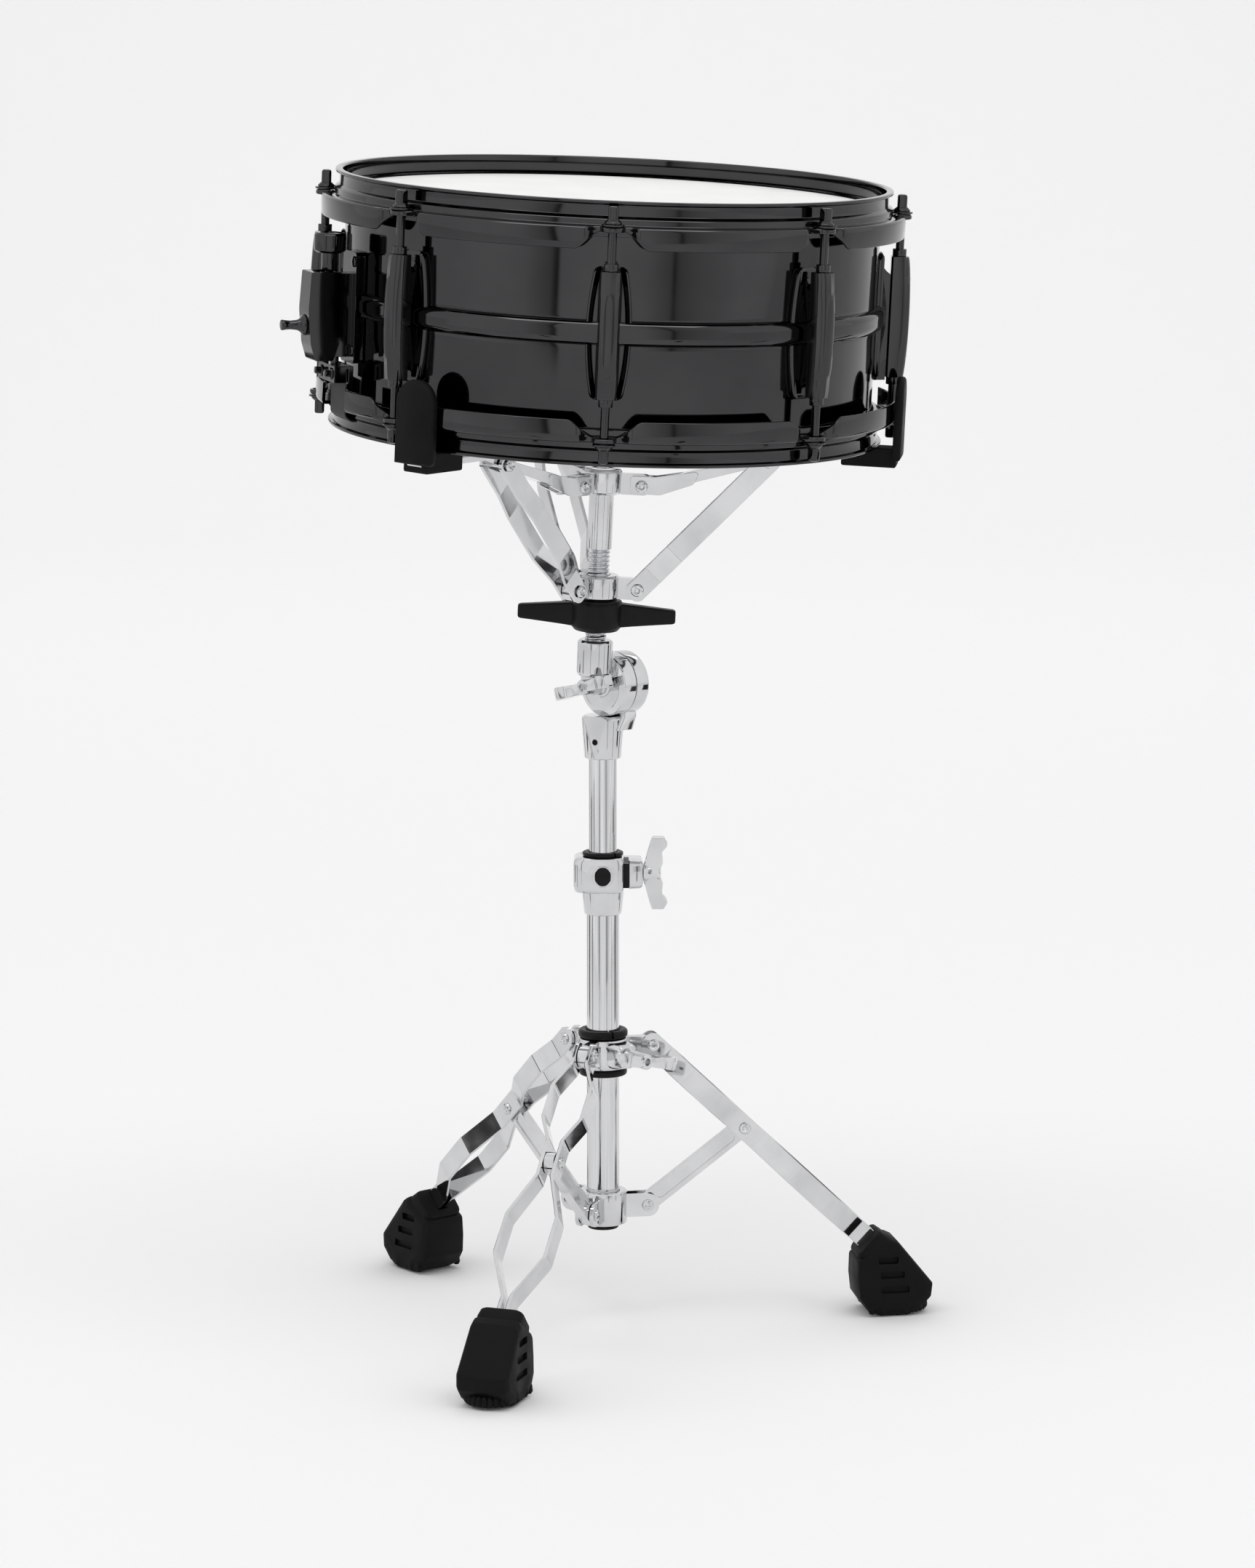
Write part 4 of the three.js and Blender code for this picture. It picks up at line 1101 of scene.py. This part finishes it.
def column_pieces():
    chrome = "chrome"
    piece("base_tube_drawn", "base", chrome, tube_shape(BASE_TUBE), COLUMN,
          material="drawn_chrome", replaces=["base_tube"])
    foot = BASE_TUBE[2]
    plug = spun([(0, foot - 2.6), (10.6, foot - 2.6, 1.4), (10.9, foot - 0.2, 0.5),
                 (9.7, foot - 0.1), (9.7, 84, 0.6), (0, 84)], 48)
    piece("base_tube_plug", "base", "plastic", plug, COLUMN)
    piece("upper_tube_drawn", "upper_column", chrome, tube_shape(UPPER_TUBE), COLUMN,
          material="drawn_chrome", replaces=["upper_tube"])
    block_outline = rounded([(-20, -17, 7), (14.6, -17, 5), (14.6, 17, 5), (-20, 17, 7)], 7, 8)
    block_rows = []
    for z, inset in ((304, 3.2), (304.7, 1.5), (306.4, 0.5), (309, 0.1), (323.4, 0.1), (326, 0.5),
                     (327.5, 1.6), (328, 3.2)):
        share = 1 - inset / 20
        block_rows.append([(*(Vector(point) * share), z) for point in block_outline])
    block = skin(block_rows)
    taper = spun([(0, 288), (12.6, 288, 0.8), (13, 290.5, 0.6), (14.2, 303.4, 1.0), (14.2, 306),
                  (0, 306)], 72)
    ear = lofted(((17.5, 11.6, 306.6, 325.6), (18.2, 12, 306, 326), (25.2, 11.6, 306.4, 325.6),
                  (26.7, 10.8, 307.4, 324.6), (27.1, 9.6, 308.6, 323.4)), 4.2, 5)
    rear_bridge = prism(oblong((10, 26), (9.6, 16.4), 2.4), 307, 325)
    bore = rod(BASE_TUBE[0] + 0.15, 287, 301, 64)
    through = rod(UPPER_TUBE[0] + 0.6, 300, 330, 64)
    boss = rod_y(7.4, -17.4, -15, (0, 316), 40, 0.8)
    pocket = rod_y(5.9, -22, -15.9, (0, 316), 40)
    screw_bore = rod_x(3.1, 14, 30, 316, 24)
    clamp = carved(joined(block, taper, ear, rear_bridge, boss), bore, through, pocket, screw_bore)
    casting("height_clamp_casting", "base", clamp, COLUMN, 0.6, ["height_clamp"])
    plug_rows = [ball_row((0, 0, h), (w * 0.98, w * 1.2), 40, 0.92)
                 for h, w in ((0, 5.2), (1.6, 5.6), (2.4, 5.2), (2.7, 4.4))]
    oval = skin(plug_rows).placed(shift(0, -15.4, 316) @ turn(90, "X"))
    piece("height_clamp_plug", "base", "plastic", oval, COLUMN)
    slot_fill = prism(oblong((14.2, 17.7), (-13.6, 9.9), 0.5, 3), 307.6, 324.4)
    piece("height_clamp_liner", "base", "plastic", carved(slot_fill, screw_bore), COLUMN, 0.2)
    flange = spun_ring([(UPPER_TUBE[0] + 0.25, 318), (11.2, 318), (11.2, 328.2),
                        (13.8, 328.3, 0.6), (13.9, 330.4, 0.8), (12.4, 331, 0.5),
                        (UPPER_TUBE[0] + 0.25, 331, 0.5)], 72, 0.2, 3)
    split = box((-0.7, 0.7), (-20, -5), (316, 333))
    piece("clamp_bushing_split", "swivel_bushing", "plastic",
          carved(flange, split.placed(turn(38, "Z"))), COLUMN, replaces=["clamp_bushing"])
    wing_bolt("clamp", wing_shape(27.4, 12), bolt_shape(18, 30), COLUMN @ shift(z=316))


# ------------------------------------------------------------------ tripod


def ear_plate(reach, low, high, inner, outer, hole):
    outline = rounded([(12.6, low, 0.6), (reach, low, (high - low) / 2 - 0.5),
                       (reach, high, (high - low) / 2 - 0.5), (12.6, high, 0.6)], 2, 7)
    plate = prism_y(outline, inner, outer)
    return carved(plate, rod_y(2.9, -20, 20, hole, 24))


def bracket_casting():
    body = ring(16.4, SLIDE_BORE - 0.1, 72.2, 95, 84, 1.1)
    plates = []
    for azimuth in LEG_AZIMUTHS:
        for side in (-1, 1):
            low, high = sorted((side * 3.9, side * 6.4))
            plate = ear_plate(38, 76.2, 92, low, high, STRUT_PIVOT)
            plates.append(plate.placed(turn(azimuth, "Z")))
    return carved(joined(body, *plates), rod(SLIDE_BORE - 0.15, 70, 97, 84))


def collar_casting():
    body = spun_ring([(13.8, 181.2), (16.2, 181.2, 1.2), (18, 184, 2.5), (18, 198.5, 2.5),
                      (16.6, 202, 1.2), (13.8, 202)], 96, 0.5, 5)
    outline = rounded([(12, 187.4, 0.6), (41, 187.4, 6.8), (41, 202, 6.8), (12, 202, 0.6)], 2, 8)
    ears = around(prism_y(outline, -EAR_HALF, EAR_HALF), LEG_AZIMUTHS)
    boss = lofted(((12.5, 9.4, 183.2, 201), (19.6, 9.2, 183.4, 200.8), (25.6, 8.3, 184.2, 199.8),
                   (26.8, 7.4, 185.2, 198.8), (27, 6.4, 186.4, 197.6)), 3.6, 5)
    to_wing = turn(COLLAR_WING_AZIMUTH, "Z")
    window = prism_x(oblong((-6.4, 6.4), (186.6, 197.4), 2.2, 5), 16.7, 24)
    bores = around(rod_y(3.0, -6, 6, LEG_PIVOT, 24), LEG_AZIMUTHS)
    bores.append(rod_x(3.1, 12, 30, COLLAR_WING_HEIGHT, 24).placed(to_wing))
    bores.append(rod(13.95, 178, 204, 84))
    return carved(joined(body, *ears, boss.placed(to_wing)), *around(window, (160, 240, 20)),
                  *bores)


def leg_strip(side):
    """A leg's side strip: flat bar bent out from the collar, in at the brace, out again, and
    into its boot."""
    path = [(-8, 3.9), (12, 3.9), (30, 12.5), (56, 12.5), (74, 3.9), (102, 3.9), (134, 16.5),
            (165, 16.5), (197, 1.7), (LEG_LENGTH, 1.7)]
    strip = ribbon([(x, side * (y + STRIP / 2)) for x, y in path], STRIP, LEG_HALF_HEIGHT, 8)
    ends = rounded([(-7.8, -7.8), (LEG_LENGTH, -7.8, 2), (LEG_LENGTH, 7.8, 2), (-7.8, 7.8)],
                   7.2, 9)
    return solid("INTERSECT", strip, [prism_y(ends, -40, 40)])


def strut_bar(length):
    """A strut. Its brace end has a slot in a round eye, because the rivet that rides on the leg
    drifts from the strut's hole while the legs fold."""
    outline = oblong((-6.2, length + 6.2), (-6.2, 6.2), 6.1, 9)
    bar = prism_y(outline, -EAR_HALF, EAR_HALF)
    groove_line = oblong((9, length - 9), (-2.9, 2.9), 2.8, 7)
    grooves = [prism_y(groove_line, *sorted((side * 2.5, side * 5))) for side in (-1, 1)]
    slot_line = oblong((length - 5.7, length + 5.6), (-4.7, 4.7), 2.8, 7)
    eye = rod_y(7.4, -EAR_HALF, EAR_HALF, (length, 0), 40)
    return carved(joined(bar, eye), *grooves, rod_y(2.8, -6, 6, (0, 0), 24),
                  prism_y(slot_line, -6, 6))


def boot_shape():
    """The rubber boot: a wedge that widens from its tilted mouth to its sole."""
    outline = rounded([(175.9, 26), (177.4, 13), (183.4, 4.2), (192, 0.2), (212, 0.2), (221, 4.4),
                       (228.6, 12.6), (229.8, 22), (205.4, 52), (199.4, 54.8), (176.2, 40)], 3, 4)
    half = [(14.4, 0), (16.9, 1.0), (18.4, 3.4), (19, 6.5)]
    rows = []
    for y, inset in [(-y, inset) for y, inset in reversed(half)] + half:
        rows.append([(pulled.x, y, pulled.y) for pulled in drawn_in(outline, (201, 26), inset)])

    def tapered(point):
        narrow = 1 - 0.09 * smooth_step((point.z - 6) / 44)
        return Vector((point.x, point.y * narrow, point.z))

    hull = skin(rows).bent(tapered)
    places = [(205 + 21.5 * math.cos(angle), 17.2 * math.sin(angle))
              for angle in (math.radians(-78 + 12 * k) for k in range(14))]
    places += [(x, y) for x in (186, 194) for y in (-17.0, 17.0)]
    nubs = [post(((2.2, 1.6), (4, 2.6), (8, 2.2), (9.4, 1.0)), 10, at=place) for place in places]
    cuts = []
    for side in (-1, 1):
        for x, z, half, depth in ((197.5, 40.0, 7.0, 14.9), (200.5, 29.8, 8.4, 15.8),
                                  (202.5, 19.4, 9.8, 16.4)):
            slot_line = oblong((x - half, x + half), (z - 2.4, z + 2.4), 1.0, 3)
            cuts.append(prism_y(slot_line, *sorted((side * depth, side * 26))))
    cuts.append(box((190, LEG_LENGTH + 0.4), (-4.2, 4.2), (-7.9, 7.9)).placed(leg_line()))
    for x in (188, 195, 202, 209, 216):
        cuts.append(box((x, x + 1.8), (-30, 30), (-1, 1.5)))
    return carved(joined(hull, *nubs), *cuts)


def leg_line():
    """The leg's own line in its radial frame, X along the bars."""
    return out_to(LEG_PIVOT) @ turn(LEG_SLOPE, "Y")


def boot_lip():
    """The raised lip round the boot's mouth."""
    growth = ((208.2, -2.6), (208.5, -1.2), (209.6, -0.3), (211.6, 0), (215, 0.5), (219, 0.2))
    lip = lofted([(x, 15.4 + grow, -13.4 - grow, 10.6 + grow) for x, grow in growth], 5.2, 6)
    return carved(lip, box((190, 230), (-4.2, 4.2), (-7.9, 7.9))).placed(leg_line())


def tripod_pieces():
    chrome = "chrome"
    casting("lower_bracket_casting", "base", bracket_casting(), COLUMN, 0.6, ["lower_bracket"])
    casting("leg_collar_casting", "leg_collar", collar_casting(), COLUMN, 0.6, ["leg_collar"])
    bore = SLIDE_BORE + 0.1
    to_wing = turn(COLLAR_WING_AZIMUTH, "Z")
    rings = joined(ring(16.4, bore, 176.2, 180.8, 84, 1.5), ring(13.6, bore, 180, 203, 84, 0.3),
                   ring(16.9, bore, 202.4, 208, 84, 2.0))
    bushing = carved(rings, rod(bore, 170, 210, 84),
                     box((-0.8, 0.8), (-20, -8), (203.5, 210)).placed(turn(24, "Z")),
                     rod_x(3.4, 8, 16, COLLAR_WING_HEIGHT, 24).placed(to_wing))
    piece("collar_bushing_nylon", "leg_collar", "plastic", bushing, COLUMN,
          replaces=["collar_bushing"])
    wing_bolt("collar", wing_shape(27.5, 20), bolt_shape(20, 35),
              COLUMN @ to_wing @ shift(z=COLLAR_WING_HEIGHT) @ turn(80, "X"))
    length, rise = span(STRUT_PIVOT, BRACE)
    strips = {side: leg_strip(side) for side in (-1, 1)}
    strut, boot, lip = strut_bar(length), boot_shape(), boot_lip()
    screw, pin = cross_screw(), rod_y(2.7, -6.2, 6.2, STRUT_PIVOT, 24)
    rivet = rivet_shape(FORK + STRIP + 0.1)
    for k, azimuth in enumerate(LEG_AZIMUTHS, start=1):
        upright = COLUMN @ turn(azimuth, "Z")
        sloping = upright @ out_to(LEG_PIVOT) @ turn(LEG_SLOPE, "Y")
        leg = f"leg_{k}"
        piece(f"leg_{k}_right", leg, chrome, strips[-1], sloping, crease=40)
        piece(f"leg_{k}_left", leg, chrome, strips[1], sloping, crease=40, replaces=[leg])
        piece(f"leg_{k}_rivet", leg, chrome, rivet, sloping)
        piece(f"leg_{k}_brace_rivet", leg, chrome, rivet, sloping @ shift(LEG_TO_BRACE))
        piece(f"foot_{k}_boot", leg, "rubber", boot, upright, 0.8, 3, crease=32,
              replaces=[f"foot_{k}"])
        piece(f"foot_{k}_lip", leg, "rubber", lip, upright, 0.5, crease=32)
        bar_place = upright @ out_to(STRUT_PIVOT) @ turn(-rise, "Y")
        piece(f"strut_{k}_bar", f"strut_{k}", chrome, strut, bar_place, 0.5, 2, crease=32,
              replaces=[f"strut_{k}"])
        for side, label in ((-1, "right"), (1, "left")):
            seat = shift(STRUT_PIVOT[0], 6.1 * side, STRUT_PIVOT[1])
            piece(f"bracket_screw_{k}_{label}", "base", chrome, screw,
                  upright @ seat @ turn(-90 * side, "X"))
        piece(f"bracket_pin_{k}", "base", chrome, pin, upright, material="snare_steel")


# ------------------------------------------------------------------ the whole object

drum_pieces()
strainer_pieces()
basket_pieces()
tilter_pieces()
column_pieces()
tripod_pieces()

# ------------------------------------------------------------------ floor, light and camera


# A bearing in degrees, 0 being the camera's, and the brightness of the light from there.
WORLD_PANELS = [(-180, 0.94), (-100, 0.9), (-60, 1.0), (-36, 0.9), (-24.5, 0.5), (-23.5, 0.1),
                (-22.5, 0.1), (-21.8, 0.92), (0, 0.95), (14, 0.88), (25.5, 0.52), (26.2, 0.1),
                (27.4, 0.1), (28.2, 0.46), (38, 0.7), (56, 1.0), (100, 0.9), (180, 0.94)]
# Azimuth in degrees, distance, width and height in metres.
FLAGS = [(-27, 1.0, 0.030, 0.38), (27, 1.0, 0.036, 0.38), (-78, 0.9, 0.07, 0.38),
         (64, 0.9, 0.03, 0.38), (118, 0.95, 0.09, 0.4), (-138, 1.2, 0.10, 0.4),
         (96, 1.3, 0.25, 0.3), (-108, 1.3, 0.22, 0.3)]
SWEEP_TONE = (0.9, 0.9, 0.9)
SWEEP_HALF = 12.0
FLAG_TONE = (0.01, 0.01, 0.01)


def matt_mesh(name, points, faces, colour):
    """A mesh in a plain matt colour."""
    mesh = new_mesh(name, points, faces)
    material = bare_material(name)[0]
    shader = material.node_tree.nodes["Principled BSDF"]
    shader.inputs["Base Color"].default_value = (*colour, 1)
    shader.inputs["Roughness"].default_value = 0.9
    mesh.materials.append(material)
    return mesh


def floor_and_backdrop():
    """A pale sweep: the floor runs back and curves up into the wall."""
    profile = [(-2.9, 0.0), (5.0, 0.0)] + arc((5.0, 2.5), 2.5, -90, 0, 24) + [(7.5, 9.0)]
    points = [(x, y, z) for y, z in profile for x in (-SWEEP_HALF, SWEEP_HALF)]
    faces = [(2 * i, 2 * i + 1, 2 * i + 3, 2 * i + 2) for i in range(len(profile) - 1)]
    mesh = matt_mesh("sweep", points, faces, SWEEP_TONE)
    smoothed(mesh)
    made = new_object("sweep", mesh)


def flag(name, azimuth, distance, width, height):
    """A dark card beside the set that draws a line in polished metal. Azimuth 0 is the camera's.

    It is seen in reflections only.
    """
    half = width / 2
    corners = [(-half, 0, 0.002), (half, 0, 0.002), (half, 0, height), (-half, 0, height)]
    made = new_object(name, matt_mesh(name, corners, [(0, 1, 2, 3)], FLAG_TONE))
    bearing = math.radians(azimuth)
    made.location = (distance * math.sin(bearing), -distance * math.cos(bearing), 0)
    made.rotation_euler = (0, 0, bearing)
    made.visible_camera = made.visible_diffuse = made.visible_shadow = False


def aimed(name, data, place, target):
    """A light or camera that looks from its place at a target."""
    made = new_object(name, data)
    made.location = place
    made.rotation_euler = (Vector(target) - Vector(place)).to_track_quat("-Z", "Y").to_euler()
    return made


def soft_box(name, place, target, size, power):
    light = bpy.data.lights.new(name, "AREA")
    light.shape = "RECTANGLE"
    light.size, light.size_y = size
    light.energy = power
    aimed(name, light, place, target)


def camera(name, place, target, lens):
    made = aimed(name, bpy.data.cameras.new(name), place, target)
    made.data.lens = lens
    bpy.context.scene.camera = made


def math_node(nodes, links, operation, first, second):
    """A calculation on two values, each a socket or a number."""
    made = nodes.new("ShaderNodeMath")
    made.operation = operation
    for slot, value in zip(made.inputs, (first, second)):
        if isinstance(value, float):
            slot.default_value = value
        else:
            links.new(value, slot)
    return made.outputs["Value"]


def studio_world():
    """Soft light whose brightness changes round the horizon, with two dark gaps."""
    world = bpy.data.worlds.new("studio")
    bpy.context.scene.world = world
    world.use_nodes = True
    nodes, links = world.node_tree.nodes, world.node_tree.links
    direction = nodes.new("ShaderNodeTexCoord")
    parts = nodes.new("ShaderNodeSeparateXYZ")
    links.new(direction.outputs["Generated"], parts.inputs["Vector"])
    ahead = math_node(nodes, links, "MULTIPLY", parts.outputs["Y"], -1.0)
    bearing = math_node(nodes, links, "ARCTAN2", parts.outputs["X"], ahead)
    share = nodes.new("ShaderNodeMapRange")
    share.inputs["From Min"].default_value = -math.pi
    share.inputs["From Max"].default_value = math.pi
    links.new(bearing, share.inputs["Value"])
    panels = nodes.new("ShaderNodeValToRGB")
    stops = panels.color_ramp.elements
    stops.remove(stops[1])
    for k, (degrees, value) in enumerate(WORLD_PANELS):
        place = (degrees + 180) / 360
        stop = stops.new(place) if k else stops[0]
        stop.position = place
        stop.color = (value, value, value, 1)
    links.new(share.outputs["Result"], panels.inputs["Fac"])
    background = nodes["Background"]
    links.new(panels.outputs["Color"], background.inputs["Color"])
    background.inputs["Strength"].default_value = 1.0


bpy.context.scene.view_settings.view_transform = "Standard"
floor_and_backdrop()
studio_world()
for k, card in enumerate(FLAGS, start=1):
    flag(f"flag_{k}", *card)
soft_box("overhead", (0, -0.9, 2.9), (0, 0, 0.6), (2.6, 0.8), 17)
soft_box("backdrop_wash", (0, 3.6, 4.2), (0, 5.6, 0), (5.0, 2.0), 34)
camera("view", (0.006, -3.27, 0.90), (0.006, 0.018, 0.377), 112.7)
